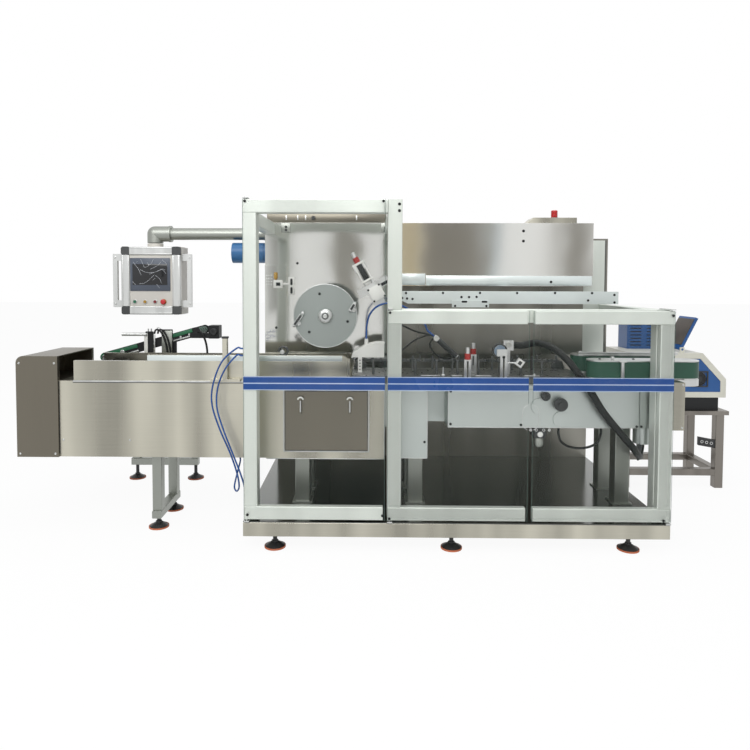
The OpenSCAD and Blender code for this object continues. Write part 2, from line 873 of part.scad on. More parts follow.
module clamp_collars() {
    color(red) home() {
        for (u = units) rod_z(u[0], u[1] + upright_t / 2, [u[2] + u[3], u[2] + u[3] + collar_h], collar_d);
        on_adjuster() rod_z(0, middle(adjuster_y), [slide_z[1], slide_z[1] + collar_h], collar_d);
    }
}

// Discharge side belts: two upright loops that carry the closed cartons between them

belt_y2 = belt_y + belt_w + path_w;
belt_z = [deck_z + 45, deck_z + 45 + belt_h];
pulley_d = belt_w - 2 * belt_t - 2 * seat;
shoe_w = pulley_d - 30;
rest_w = 40;
rest_h = 30;
rim_t = 6;
rim_z = belt_z[1] + 2;
shoe_z = [belt_z[0] - 9, belt_z[1] + 3];
top_rail_w = 30;
top_rail_h = 14;
top_rail_x = [belt_x + 28, belt_x + belt_l];
roller_x = belt_x + 174;
roller_d = 22;
roller_y = belt_y - roller_d / 2 - 2;
ear_l = 40;

module belt_loop(y) {
    along_z(belt_z) translate([belt_x, y]) difference() {
        stadium(belt_l, belt_w);
        translate([belt_t, belt_t]) stadium(belt_l - 2 * belt_t, belt_w - 2 * belt_t);
    }
}

module belt_carrier(y) {
    lo = belt_x + belt_w / 2;
    hi = belt_x + belt_l - belt_w / 2;
    along_z([deck_z, shoe_z[0] + 1]) translate([belt_x, y]) stadium(belt_l, belt_w);
    along_z([rim_z, rim_z + rim_t]) translate([belt_x, y]) stadium(belt_l, belt_w);
    for (x = [lo, hi]) rod_z(x, y + belt_w / 2, shoe_z, pulley_d);
    bar([lo, hi], around(y + belt_w / 2, shoe_w), shoe_z);
}

module discharge_belts() {
    color(belt_green) home() {
        belt_loop(belt_y);
        belt_loop(belt_y2);
    }
}

// Upright roller that tensions the front belt, held by an ear of the rim
module tension_roller() {
    bar(around(roller_x, ear_l), [roller_y - roller_d / 2, belt_y + belt_w / 2], [rim_z, rim_z + rim_t]);
    rod_z(roller_x, roller_y, [belt_z[0], rim_z + 1], roller_d);
}

module discharge_frames() {
    color(steel) home() {
        belt_carrier(belt_y);
        tension_roller();
        belt_carrier(belt_y2);
        bar(top_rail_x, around(belt_y2 + top_rail_w, top_rail_w),
            [rim_z + rim_t - 1, rim_z + rim_t + top_rail_h]);
        bar([belt_x, belt_x + belt_l], around(belt_y + belt_w + path_w / 2, rest_w),
            [deck_z, deck_z + rest_h]);
    }
}

// Infeed: closed body, product guides, bucket row, end cover and stand

module infeed_body() {
    color(steel) home() bar([infeed_x, bed_x], [bed_y, bed_back], [body_z, deck_z]);
}

guide_x = [infeed_x + 84, guide_end_x];
guide_front = bed_y + 12;
guide_back = bed_back - 12;
lip = 24;
guide_rail_x = infeed_x + 525;
guide_rail_h = 36;
rail_end_l = 46;
rail_end_h = 12;
post_base_x = [-235, -60];
post_base_h = 16;
post_out = 26;
post_w = 30;
post_h = 264;

// Folded guide: a foot on the deck, an upright web and a lip along the top
module guide_fold() {
    square([lip, guide_t]);
    square([guide_t, guide_h]);
    translate([0, guide_h - guide_t]) square([lip, guide_t]);
}

module infeed_guides() {
    color(steel) home() {
        along_x(guide_x) translate([guide_front, deck_z]) guide_fold();
        along_x(guide_x) translate([guide_back, deck_z]) mirror([1, 0]) guide_fold();
        along_y([guide_front, guide_front + lip]) translate([0, deck_z + guide_h])
            polygon([[guide_rail_x, seat], [guide_x[1], seat], [guide_x[1], rail_end_h],
                [guide_x[1] - rail_end_l, guide_rail_h], [guide_rail_x, guide_rail_h]]);
        bar(post_base_x, [bed_y - post_out, guide_front - weld_gap], [deck_z, deck_z + post_base_h]);
        tube_z(around(middle(post_base_x), post_w), [bed_y - post_out, bed_y - post_out + post_w],
            [deck_z + post_base_h - 1, deck_z + post_h]);
    }
}

cover_y = [bed_y - 15, bed_back + 15];
cover_z = [body_z, deck_z + cover_rise];

cover_shelf_in = 60;

module infeed_end_cover() {
    color([0.58, 0.56, 0.53]) home() difference() {
        along_y(cover_y) union() {
            translate([cover_x, cover_z[0]]) square([cover_l, cover_z[1] - cover_r - cover_z[0]]);
            translate([cover_x + cover_r, cover_z[0]]) square([cover_l - cover_r, cover_z[1] - cover_z[0]]);
            translate([cover_x + cover_r, cover_z[1] - cover_r]) circle(r = cover_r);
        }
        bar([cover_x + cover_shelf_in, infeed_x + 1], [guide_front, guide_back],
            [deck_z, cover_z[1] - sheet_t]);
    }
}

bucket_w = 60;
bucket_y = [bed_y + 90, bed_back - 90];
bucket_count = floor((guide_x[1] - guide_x[0]) / bucket_pitch);

bucket_in = 40;

module infeed_buckets() {
    color(dark_steel) home() for (i = [0 : bucket_count - 1], u = [0, bucket_w - guide_t])
        along_y(bucket_y) translate([guide_x[0] + bucket_in + i * bucket_pitch + u, deck_z])
            square([guide_t, bucket_h]);
}

stand_in = 40;

module infeed_stands() {
    color(bed_grey) home() {
        for (y = stand_foot_y)
            tube_z(around(stand_mid_x, stand_w), around(y, stand_w),
                [stand_beam_z[1] + weld_gap, body_z]);
        tube_y(around(stand_mid_x, stand_w), [bed_y + stand_in, bed_back - stand_in], stand_beam_z);
        tube_x(leaflet_beam_x, leaflet_y, leaflet_beam_z);
        for (x = leaflet_foot_x) {
            tube_z(around(x, leaflet_tube), leaflet_y, [leaflet_beam_z[1] + weld_gap, leaflet_top]);
            tube_y(around(x, leaflet_tube), [bed_back, leaflet_y[0] - weld_gap],
                [leaflet_top - leaflet_tube, leaflet_top]);
        }
    }
}

// Leaflet feeder behind the infeed

leaflet_top = deck_z - 60;
leaflet_conveyor_y = [bed_back + 50, bed_back + 50 + leaflet_w];
leaflet_pivot = [infeed_x + 40, deck_z + 50];
leaflet_beam_x = [infeed_x + 44, infeed_x + 550];
leaflet_h = 46;

// Puts a shape drawn along the slope of the leaflet conveyor into place
module on_slope() {
    translate([leaflet_pivot[0], 0, leaflet_pivot[1]]) rotate([0, -leaflet_tilt, 0]) children();
}

strip_w = 34;
strip_y = [for (i = [0 : 3]) leaflet_conveyor_y[0] + 24 + i * (leaflet_w - 48 - strip_w) / 3];

// Head plates, drive and drive arm beside the conveyor, each as [left, right, low, high]
head_y = [leaflet_conveyor_y[0] - 10, leaflet_conveyor_y[0] + 1];
head_plates = [[infeed_x + 340, infeed_x + 393, deck_z + 92, deck_z + 254],
    [infeed_x + 449, infeed_x + 522, deck_z + 92, deck_z + 268]];
drive_arm = [infeed_x + 640, infeed_x + 800, deck_z + 210, deck_z + 245];
drive_box = [infeed_x + 764, infeed_x + 836, deck_z + 207, deck_z + 295];
drive_box_d = 80;
brace_w = 40;
cheek_t = 8;

leaflet_sink = 10;

module leaflet_frame() {
    color(black) home() {
        on_slope() for (y = [leaflet_conveyor_y[0], leaflet_conveyor_y[1] - cheek_t])
            along_y([y, y + cheek_t]) translate([0, -cheek_t]) stadium(leaflet_l, leaflet_h + 2 * cheek_t);
        on_slope() for (x = [leaflet_h / 2 + cheek_t, leaflet_l - leaflet_h / 2 - cheek_t])
            rod_y(x, leaflet_conveyor_y, leaflet_h / 2, leaflet_h - 2 * belt_t - 2 * seat);
        for (x = leaflet_foot_x)
            bar(around(x, brace_w), [leaflet_conveyor_y[0] + 1, leaflet_conveyor_y[0] + cheek_t - 1],
                [leaflet_top, leaflet_pivot[1] + (x - leaflet_pivot[0]) * tan(leaflet_tilt) + leaflet_sink]);
        for (p = concat(head_plates, [drive_arm]))
            tube_y([p[0], p[1]], head_y, [p[2], p[3]]);
        tube_y([drive_box[0], drive_box[1]], [head_y[0], head_y[0] + drive_box_d],
            [drive_box[2], drive_box[3]]);
    }
}

module leaflet_belts() {
    color(belt_green) home() on_slope() for (y = strip_y) along_y([y, y + strip_w]) difference() {
        translate([cheek_t, 0]) stadium(leaflet_l - 2 * cheek_t, leaflet_h);
        translate([cheek_t + belt_t, belt_t])
            stadium(leaflet_l - 2 * cheek_t - 2 * belt_t, leaflet_h - 2 * belt_t);
    }
}

// Pendant arm: tube from the housing, with an elbow over the pendant's pivot

arm_y = wall_y + wall_d / 2;
elbow_d = arm_d + 24;
elbow_rim = 3;
elbow_rim_w = 16;
elbow_z = arm_z - 61;
elbow_x = [-pendant_x, 112 - pendant_x];
case_top = elbow_z - 29;
pivot_d = 40;
pivot_l = 30;
flange_d = arm_d + 26;
flange_t = 14;

module pendant_arm() {
    color(silver) home() difference() {
        union() {
            rod_x([-pendant_x, wall_x], arm_y, arm_z, arm_d);
            rod_x(elbow_x, arm_y, arm_z, elbow_d);
            rod_x([elbow_x[1] - elbow_rim_w, elbow_x[1]], arm_y, arm_z, elbow_d + 2 * elbow_rim);
            rod_x([wall_x - flange_t, wall_x], arm_y, arm_z, flange_d);
            translate([-pendant_x, arm_y, arm_z]) sphere(d = elbow_d);
            rod_z(-pendant_x, arm_y, [elbow_z, arm_z], elbow_d);
        }
        rod_z(-pendant_x, arm_y, [elbow_z - 1, elbow_z + pivot_l], pivot_d + 2 * run_fit);
    }
}

frame_w = 56;
frame_t = 26;
panel_in = 8;
case_x = around(-pendant_x, case_w);
case_y = [arm_y - case_d / 2, arm_y + case_d / 2];
case_z = [case_top - case_h, case_top];
face_x = [case_x[0] + frame_w, case_x[1] - frame_w];
face_z = [case_z[0] + frame_w, case_z[1] - frame_w];
face_y = case_y[0] - frame_t;

// Case with the operating panel that stands forward inside the front frame
module pendant_case() {
    color(bed_grey) home() {
        tube_y(case_x, case_y, case_z);
        bar(face_x + [seat, -seat], [face_y + panel_in, case_y[0] + 1], face_z + [seat, -seat]);
        rod_z(-pendant_x, arm_y, [case_top - 1, elbow_z + pivot_l - seat], pivot_d);
        rod_z(-pendant_x, arm_y, [case_top - 1, elbow_z - swing_gap], elbow_d);
    }
}

handle_out = 66;
handle_w = 30;
handle_t = 24;
handle_end = 46;
handle_y = [case_y[0] + 4, case_y[0] + 4 + handle_t];
handle_z = [case_z[0] + 48, case_z[1] - 48];

// Profile bars between the corner pieces, and a handle on each side of the case
module pendant_frame() {
    color(silver) home() {
        for (z = [[case_z[0], face_z[0]], [face_z[1], case_z[1]]])
            tube_x(face_x + [seat, -seat], [face_y, case_y[0]], z);
        for (x = [[case_x[0], face_x[0]], [face_x[1], case_x[1]]])
            tube_z(x, [face_y, case_y[0]], face_z + [seat, -seat]);
        for (side = [[case_x[0] - handle_out, case_x[0]], [case_x[1], case_x[1] + handle_out]])
            difference() {
                tube_y(side, handle_y, handle_z);
                bar(side[0] < case_x[0] ? side + [handle_w, 1] : side - [1, handle_w],
                    handle_y + [-1, 1], handle_z + [handle_end, -handle_end]);
            }
    }
}

// Moulded pieces at the four corners of the front frame
module pendant_corners() {
    color(dark_steel) home() for (x = [case_x[0], face_x[1]], z = [case_z[0], face_z[1]])
        along_y([face_y, case_y[0]]) translate([x, z]) round_rect(frame_w, frame_w, edge_r * 3);
}

// Rotary feeder: disc, hub and clamp levers in front, suction heads behind, one shaft in a flanged bearing

shaft_back = wall_y - seat;
bearing_d = shaft_d + 80;
bearing_l = 60;
head_angles = [105, -15, 225];
head_d = 34;
head_l = 170;
cup_arm_d = 16;
cup_arm_y = [rotor_y + disc_t + 51, rotor_y + disc_t + 129];
cup_arm_r = 189;
lever_w = 18;
levers = [[186.6, 160, 55.6, 112], [18.8, 172, 58, 70]];
hub_out = 16;
nut_out = 30;

module feeder_bearing() {
    color(steel) home() difference() {
        rod_y(rotor_x, [wall_y - bearing_l, wall_y], rotor_z, bearing_d);
        rod_y(rotor_x, [wall_y - bearing_l - 1, wall_y + 1], rotor_z, shaft_d + 2 * run_fit);
    }
}

module feeder_disc() {
    color([0.55, 0.56, 0.55]) home() {
        rod_y(rotor_x, [rotor_y, rotor_y + disc_t], rotor_z, disc_d);
        rod_y(rotor_x, [rotor_y - hub_out, rotor_y + 1], rotor_z, hub_d);
        rod_y(rotor_x, [rotor_y - nut_out, rotor_y - hub_out + 1], rotor_z, hub_d / 2);
        rod_y(rotor_x, [rotor_y + disc_t - 1, shaft_back], rotor_z, shaft_d);
        for (v = levers) translate([rotor_x + v[1] * cos(v[0]), 0, rotor_z + v[1] * sin(v[0])])
            rotate([0, -v[2], 0]) along_y([rotor_y - hub_out, rotor_y + 1])
                translate([-v[3] / 2, -lever_w / 2]) round_rect(v[3], lever_w, lever_w / 2 - 1);
    }
}

module feeder_heads() {
    color(silver) home() translate([rotor_x, 0, rotor_z]) for (a = head_angles) rotate([0, -a, 0]) {
        rod_y(head_r, [rotor_y + disc_t, rotor_y + disc_t + head_l], 0, head_d);
        for (y = cup_arm_y) rod_x([head_r, cup_arm_r], y, 0, cup_arm_d);
    }
}

// Adjuster: tilted slide unit beside the feeder, carried by a post from the housing

adjuster_tilt = 29;
adjuster_foot = [735, 1420];
adjuster_y = [350, 390];

slide_z = [170, 220];
guide_rod_d = 12;
guide_rod_x = 24;
foot_block = [-70, 60];
foot_block_w = 70;
slide_w = 80;
adjuster_post_d = 44;
cross_x = [-86, 114];
cross_z = [22, 72];
cross_in = [2, -8];
cross_plate_x = [-30, 54];
cross_plate_z = [-38, 50];
cross_plate_t = 12;

// Puts a shape into the tilted frame of the adjuster
module on_adjuster() {
    translate([adjuster_foot[0], 0, adjuster_foot[1]]) rotate([0, -adjuster_tilt, 0]) children();
}

module adjuster_unit() {
    color(silver) home() {
        on_adjuster() {
            bar(around(0, foot_block_w), adjuster_y, foot_block);
            bar(cross_x, adjuster_y + cross_in, cross_z);
            bar(cross_plate_x, [adjuster_y[0] - cross_plate_t, adjuster_y[0] + 1], cross_plate_z);
            for (x = [-guide_rod_x, guide_rod_x])
                rod_z(x, middle(adjuster_y), [foot_block[1] - 1, slide_z[1]], guide_rod_d);
            bar(around(0, slide_w), adjuster_y, slide_z);
            rod_z(0, middle(adjuster_y), [slide_z[1] + collar_h, slide_z[1] + collar_h + knob_h], knob_d);
        }
        rod_y(adjuster_foot[0], [adjuster_y[1] - 1, wall_y], adjuster_foot[1], adjuster_post_d);
    }
}

// Glue guard: front sheet with a sloped top flange, a hose socket and a strip of holes down to the track

guard_x = [592, 790];
guard_y = [340, 440];
guard_z = [1042, 1132];
guard_top = [[guard_x[0], guard_z[0]], [guard_x[0] + 10, guard_z[0] + 32],
    [guard_x[0] + 88, guard_z[1] - 15], [guard_x[0] + 148, guard_z[1]], [guard_x[1], guard_z[1]]];
guard_fold = [for (i = [len(guard_top) - 1 : -1 : 0]) guard_top[i] + [sheet_t, -sheet_t]];
socket_at = [guard_x[0] + 90, middle(guard_y)];
socket_d = 24;
socket_top = guard_z[1] + 18;
strip_x = [guard_x[0] + 40, guard_x[0] + 64];
strip_hole_d = 9;
strip_holes = 4;

module glue_guard() {
    color([0.9, 0.9, 0.9]) home() {
        along_y([guard_y[0], guard_y[0] + sheet_t]) polygon(concat(guard_top, [[guard_x[1], guard_z[0]]]));
        along_y(guard_y) polygon(concat(guard_top, guard_fold));
        bar([guard_x[1] - sheet_t, guard_x[1]], guard_y, guard_z);
        rod_z(socket_at[0], socket_at[1], [guard_z[1] - socket_d, socket_top], socket_d);
        difference() {
            bar(strip_x, [guard_y[0], guard_y[0] + sheet_t], [track_z, guard_z[0] + 1]);
            for (i = [1 : strip_holes]) rod_y(middle(strip_x), [guard_y[0] - 1, guard_y[0] + sheet_t + 1],
                track_z + i * (guard_z[0] - track_z) / (strip_holes + 1), strip_hole_d);
        }
    }
}

side_box_x = [base_l, base_l + 92];
side_box_y = [56, 138];
side_box_z = [deck_z - 232, deck_z + 37];

module side_box() {
    color(steel) home() along_y(side_box_y) translate([side_box_x[0], side_box_z[0]])
        round_rect(side_box_x[1] - side_box_x[0], side_box_z[1] - side_box_z[0], edge_r);
}

motor_z = 1691;

flange_l = 20;
flange_in = 5;

module feeder_motor() {
    color(melter_blue) home() {
        rod_x([wall_x - motor_l, wall_x - flange_l], arm_y, motor_z, motor_d);
        rod_x([wall_x - flange_l - 1, wall_x], arm_y, motor_z, motor_d - 2 * flange_in);
    }
}

// Hot-melt unit on its table

top_t = 29;
table_under = table_z - top_t;
leg_x0 = table_x + 20;
leg_x1 = table_end - 20 - table_tube;
leg_y0 = table_y + 20;
leg_y1 = table_back - 20 - table_tube;
table_rail_z = [90, 90 + table_tube - 12];

module table_top() {
    color(steel) home() bar([table_x, table_end], [table_y, table_back], [table_under, table_z]);
}

module table_legs() {
    color(dark_steel) home() {
        for (x = [leg_x0, leg_x1], y = [leg_y0, leg_y1])
            tube_z([x, x + table_tube], [y, y + table_tube], [0, table_under]);
        for (y = [leg_y0, leg_y1])
            tube_x([leg_x0 + table_tube + weld_gap, leg_x1 - weld_gap], [y, y + table_tube], table_rail_z);
        for (x = [leg_x0, leg_x1])
            tube_y([x, x + table_tube], [leg_y0 + table_tube + weld_gap, leg_y1 - weld_gap], table_rail_z);
    }
}

melter_x = [table_x + 70, table_x + 70 + melter_l];
melter_y = [table_y + 30, table_back - 8];
melter_top = table_z + melter_h;
plinth_h = 94;
plinth_x = [melter_x[0] + 30, melter_x[1] - 48];
plinth_y = [melter_y[0] + 10, melter_y[1] - 10];
body_low = table_z + plinth_h;
slope_cut = [172, 188];
slope_angle = atan2(slope_cut[0], slope_cut[1]);
border = 40;
pocket_d = 8;
panel_t = 6;
panel_gap = 1;
tower_front = table_y + 324;
tower_x = [melter_x[0] + 96, melter_x[0] + 357];
louvre_rows = 7;
louvre_pitch = 26;
louvre_h = 9;
louvre_w = 84;
louvre_x = [tower_x[0] + 26, tower_x[1] - 26 - louvre_w];
louvre_low = melter_top + 24;
louvre_d = 6;
fan_d = 104;
fan_at = [melter_x[1] - 192, body_low + 135];

lid_x = melter_x[0] + 380;
lid_t = 20;
lid_pin_d = 16;
lid_z = melter_top + 26;
ear_w = 30;
ear_t = 12;
ear_y = [[melter_y[0] + 10, melter_y[0] + 10 + ear_t], [tower_front - 20, tower_front - 20 + ear_t]];
lid_y = [ear_y[0][1] + 8, ear_y[1][0] - 8];

// Front outline of the hot-melt body, drawn a given border inside its edge
module melter_outline(inset) {
    low = melter_top - slope_cut[1] - inset * tan(slope_angle / 2);
    left = melter_x[1] - slope_cut[0] - inset * tan((90 - slope_angle) / 2);
    polygon([[melter_x[0] + inset, body_low + inset], [melter_x[1] - inset, body_low + inset],
        [melter_x[1] - inset, low], [left, melter_top - inset], [melter_x[0] + inset, melter_top - inset]]);
}

module melter_plinth() {
    color(black) home() bar(plinth_x, plinth_y, [table_z, body_low]);
}

// Sloped body with a shallow pocket for its front panel, and the ears of the lid's hinge
module melter_body() {
    color(cream) home() difference() {
        union() {
            along_y(melter_y) melter_outline(0);
            for (y = ear_y) bar(around(lid_x, ear_w), y, [melter_top - 1, lid_z + ear_w / 2]);
        }
        along_y([melter_y[0] - 1, melter_y[0] + pocket_d]) melter_outline(border);
        for (y = ear_y) rod_y(lid_x, [y[0] - 1, y[1] + 1], lid_z, lid_pin_d + 2 * run_fit);
    }
}

module melter_panel() {
    color(melter_blue) home() along_y([melter_y[0] + pocket_d - panel_t, melter_y[0] + pocket_d])
        difference() {
            melter_outline(border + panel_gap);
            translate(fan_at) circle(d = fan_d);
        }
}

module melter_tower() {
    color(melter_blue) home() difference() {
        bar(tower_x, [tower_front, melter_y[1]], [melter_top, table_z + tower_h]);
        for (x = louvre_x, i = [0 : louvre_rows - 1])
            bar([x, x + louvre_w], [tower_front - 1, tower_front + louvre_d],
                [louvre_low + i * louvre_pitch, louvre_low + i * louvre_pitch + louvre_h]);
    }
}

module melter_lid() {
    color(melter_blue) home() translate([lid_x, 0, lid_z]) rotate([0, lid_lean, 0]) {
        bar([-lid_t / 2, lid_t / 2], lid_y, [0, lid_l]);
        rod_y(0, [ear_y[0][0], ear_y[1][1]], 0, lid_pin_d);
    }
}

// Free hoses: a round tube swept along a hand-laid route

function unit(v) = v / norm(v);
function heading(p, i) = unit(p[min(i + 1, len(p) - 1)] - p[max(i - 1, 0)]);
function across(h) = unit(cross(h, abs(h[2]) < 0.9 ? [0, 0, 1] : [0, 1, 0]));
function carried(p, i, last) = i == 0 ? across(heading(p, 0))
    : unit(last - heading(p, i) * (last * heading(p, i)));
function frames(p, i = 0, last = [0, 0, 0], out = []) = i == len(p) ? out
    : let (n = carried(p, i, last)) frames(p, i + 1, n, concat(out, [n]));
function smooth(p, steps) = [for (i = [0 : len(p) - 2], s = [0 : steps - 1]) let (t = s / steps,
        a = p[max(i - 1, 0)], b = p[i], c = p[i + 1], d = p[min(i + 2, len(p) - 1)])
    b + ((c - a) * t + (2 * a - 5 * b + 4 * c - d) * t * t + (3 * b - 3 * c + d - a) * t * t * t) / 2];

hose_steps = 4;
sides = 10;

module hose(route, d, steps) {
    p = concat(smooth(route, steps), [route[len(route) - 1]]);
    n = frames(p);
    rings = [for (i = [0 : len(p) - 1], k = [0 : sides - 1])
        p[i] + d / 2 * (cos(k * 360 / sides) * n[i] + sin(k * 360 / sides) * cross(heading(p, i), n[i]))];
    walls = [for (i = [0 : len(p) - 2], k = [0 : sides - 1]) let (j = (k + 1) % sides)
        [i * sides + k, (i + 1) * sides + k, (i + 1) * sides + j, i * sides + j]];
    ends = [[for (k = [0 : sides - 1]) k], [for (k = [sides - 1 : -1 : 0]) (len(p) - 1) * sides + k]];
    polyhedron(rings, concat(walls, ends));
}

hose_d = 40;
hose_shift = [base_l - 2360, 0, 0];
hose_points = [[1560, 330, 1120], [1590, 330, 1120], [1620, 330, 1120], [1695, 295, 1138],
    [1760, 205, 1118], [1815, 132, 1065], [1862, 98, 1000], [1938, 92, 893], [2016, 92, 769],
    [2110, 96, 655], [2190, 115, 568], [2270, 210, 490], [2350, 380, 445], [2430, 560, 445],
    [2510, 740, 485], [2585, 890, 550], [2655, 1020, 604], [2690, 1080, 612], [2690, 1110, 612],
    [2690, 1140, 612]];
hose_route = [for (p = hose_points) p + hose_shift];

module glue_hose() {
    color(black) home() hose(hose_route, hose_d, hose_steps);
}

air_d = 10;
air_route_a = [[0, 90, 1120], [-25, 90, 1120], [-50, 90, 1120], [-140, 115, 1040], [-200, 150, 900],
    [-210, 170, 780], [-170, 180, 640], [-110, 180, 500], [-70, 180, 380], [-60, 190, 300],
    [-80, 220, 260], [-105, 270, 270], [-100, 320, 330], [-85, 345, 400], [-85, 345, 426],
    [-85, 345, 452]];
air_route_b = [[0, 90, 1080], [-25, 90, 1080], [-50, 90, 1080], [-120, 115, 1000], [-170, 145, 890],
    [-180, 160, 770], [-145, 165, 640], [-90, 160, 500], [-50, 155, 400], [-30, 165, 330],
    [-30, 200, 285], [-40, 255, 285], [-50, 305, 340], [-45, 325, 400], [-45, 325, 426],
    [-45, 325, 452]];

module air_tube_a() {
    color(melter_blue) home() hose(air_route_a, air_d, hose_steps);
}

module air_tube_b() {
    color(melter_blue) home() hose(air_route_b, air_d, hose_steps);
}

// Hose from the glue guard's socket to the top of the guide arm
feeder_hose_d = 12;
arm_in = [cos(guide_arm_lean), 0, -sin(guide_arm_lean)];
feeder_route = [[socket_at[0], socket_at[1], socket_top], [socket_at[0], socket_at[1], socket_top + 22],
    [socket_at[0], socket_at[1], socket_top + 44], [686, 382, 1244], [702, 352, 1300], [740, 324, 1346],
    [800, 310, 1370], [872, 314, 1364], [940, 336, 1330], [998, 366, 1282], [1040, 388, 1236],
    guide_arm_top - 56 * arm_in, guide_arm_top - 28 * arm_in, guide_arm_top];

module feeder_hose() {
    color(melter_blue) home() hose(feeder_route, feeder_hose_d, hose_steps);
}

// Cable that hangs in a loop under the bed
cable_d = 14;
cable_y = carton_y + 48;
cable_x = [base_l - 560, base_l - 315];
cable_route = [[cable_x[0], cable_y, carton_z], [cable_x[0], cable_y, carton_z - 22],
    [cable_x[0], cable_y, carton_z - 44], [cable_x[0] + 15, cable_y, carton_z - 90],
    [cable_x[0] + 58, cable_y, carton_z - 120], [middle(cable_x), cable_y, carton_z - 131],
    [cable_x[1] - 58, cable_y, carton_z - 120], [cable_x[1] - 15, cable_y, carton_z - 90],
    [cable_x[1], cable_y, carton_z - 44], [cable_x[1], cable_y, carton_z - 22],
    [cable_x[1], cable_y, carton_z]];

module bed_cable() {
    color(black) home() hose(cable_route, cable_d, hose_steps);
}

levelling_feet();
foot_rubbers();
base_rails();
drip_tray();
bed_legs();
guard_frame();
door_pivots();
rear_cabinet();
feeder_housing();
hood();
magazine_rails();
beacon();
beacon_lamp();
bed_housing();
access_panel();
carton_bed();
front_plates();
carton_track();
carton_chain();
setting_units();
clamp_collars();
discharge_belts();
discharge_frames();
infeed_body();
infeed_guides();
infeed_end_cover();
infeed_buckets();
infeed_stands();
leaflet_frame();
leaflet_belts();
pendant_arm();
feeder_bearing();
adjuster_unit();
glue_guard();
side_box();
feeder_motor();
table_top();
table_legs();
melter_plinth();
melter_body();
melter_panel();
melter_tower();
melter_lid();
left_door_frame();
left_door_pane();
middle_door_frame();
middle_door_pane();
right_door_frame();
right_door_pane();
feeder_disc();
feeder_heads();
pendant_case();
pendant_frame();
pendant_corners();
handwheel();
glue_hose();
air_tube_a();
air_tube_b();
feeder_hose();
bed_cable();
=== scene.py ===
import math

import bmesh
import bpy
from mathutils import Matrix, Vector


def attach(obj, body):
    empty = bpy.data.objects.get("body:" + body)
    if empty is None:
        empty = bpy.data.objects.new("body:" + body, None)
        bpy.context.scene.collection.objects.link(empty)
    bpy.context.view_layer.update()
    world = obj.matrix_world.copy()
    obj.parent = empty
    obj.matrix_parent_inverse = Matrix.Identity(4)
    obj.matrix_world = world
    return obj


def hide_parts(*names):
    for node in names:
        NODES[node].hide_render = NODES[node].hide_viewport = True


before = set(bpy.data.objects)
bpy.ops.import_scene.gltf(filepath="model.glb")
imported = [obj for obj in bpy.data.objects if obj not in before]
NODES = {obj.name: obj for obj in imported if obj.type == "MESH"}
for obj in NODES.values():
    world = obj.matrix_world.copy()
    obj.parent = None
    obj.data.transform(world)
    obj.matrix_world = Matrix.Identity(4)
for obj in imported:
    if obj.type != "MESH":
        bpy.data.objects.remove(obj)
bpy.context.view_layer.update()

# Machine millimetres, as in the part's source: X from the base's left end, Y from the doors' tubes,
# Z from the floor.
MM = 0.001
MID_X, MID_Y = 957.5, 795.5
LEFT, RIGHT, FRONT, BACK, UP, DOWN = (-1, 0, 0), (1, 0, 0), (0, -1, 0), (0, 1, 0), (0, 0, 1), (0, 0, -1)


def at(x, y, z):
    """A machine point in millimetres as a point of the row frame in metres."""
    return Vector(((x - MID_X) * MM, (y - MID_Y) * MM, z * MM))


def new_object(name, data):
    made = bpy.data.objects.new(name, data)
    bpy.context.scene.collection.objects.link(made)
    return made


# Camera

CAMERA_AT = (688.5, -3384.6, 1496.0)
CAMERA_YAW, CAMERA_PITCH, CAMERA_ROLL = -0.762, 2.375, 0.15
FOCAL_PX, IMAGE_PX, SENSOR = 619.96, 750, 36.0
PRINCIPAL_PX = (359.27, 307.77)
FAR_CLIP = 100.0


def make_camera():
    yaw, pitch, roll = (math.radians(a) for a in (CAMERA_YAW, CAMERA_PITCH, CAMERA_ROLL))
    turn = Matrix.Rotation(-yaw, 4, "Z") @ Matrix.Rotation(math.pi / 2 - pitch, 4, "X")
    data = bpy.data.cameras.new("camera")
    data.sensor_width = SENSOR
    data.lens = FOCAL_PX * SENSOR / IMAGE_PX
    data.shift_x = (IMAGE_PX / 2 - PRINCIPAL_PX[0]) / IMAGE_PX
    data.shift_y = (PRINCIPAL_PX[1] - IMAGE_PX / 2) / IMAGE_PX
    data.clip_end = FAR_CLIP
    camera = new_object("camera", data)
    camera.matrix_world = Matrix.Translation(at(*CAMERA_AT)) @ turn @ Matrix.Rotation(roll, 4, "Z")
    bpy.context.scene.camera = camera


make_camera()


# Materials: helpers that add nodes to one material's tree

WIDE, MIDDLE, DUSTY = (0.3, 0.7), (0.35, 0.65), (0.35, 0.7)     # spans of a noise's values
NOISE_ROUGHNESS = 0.55
EDGE_ROUND = 0.0012
LINES_TO_CLOUDS = 0.86
ALONG_X, ALONG_Z = (3, 700, 700), (700, 700, 3)


def feed(tree, node, **inputs):
    """Sets a node's inputs to values, or links them to outputs; _ in a name stands for a space."""
    for name, value in inputs.items():
        socket = node.inputs[name.replace("_", " ")]
        if isinstance(value, bpy.types.NodeSocket):
            tree.links.new(value, socket)
        else:
            socket.default_value = value
    return node


def add(tree, kind, **inputs):
    return feed(tree, tree.nodes.new("ShaderNode" + kind), **inputs)


def new_material(name, **inputs):
    """A material, its tree and its shader."""
    material = bpy.data.materials.new(name)
    material.use_nodes = True
    tree = material.node_tree
    return material, tree, feed(tree, tree.nodes["Principled BSDF"], **inputs)


def plain_name(material):
    """A material's name without the number that Blender adds to a second one."""
    return material.name.split(".")[0]


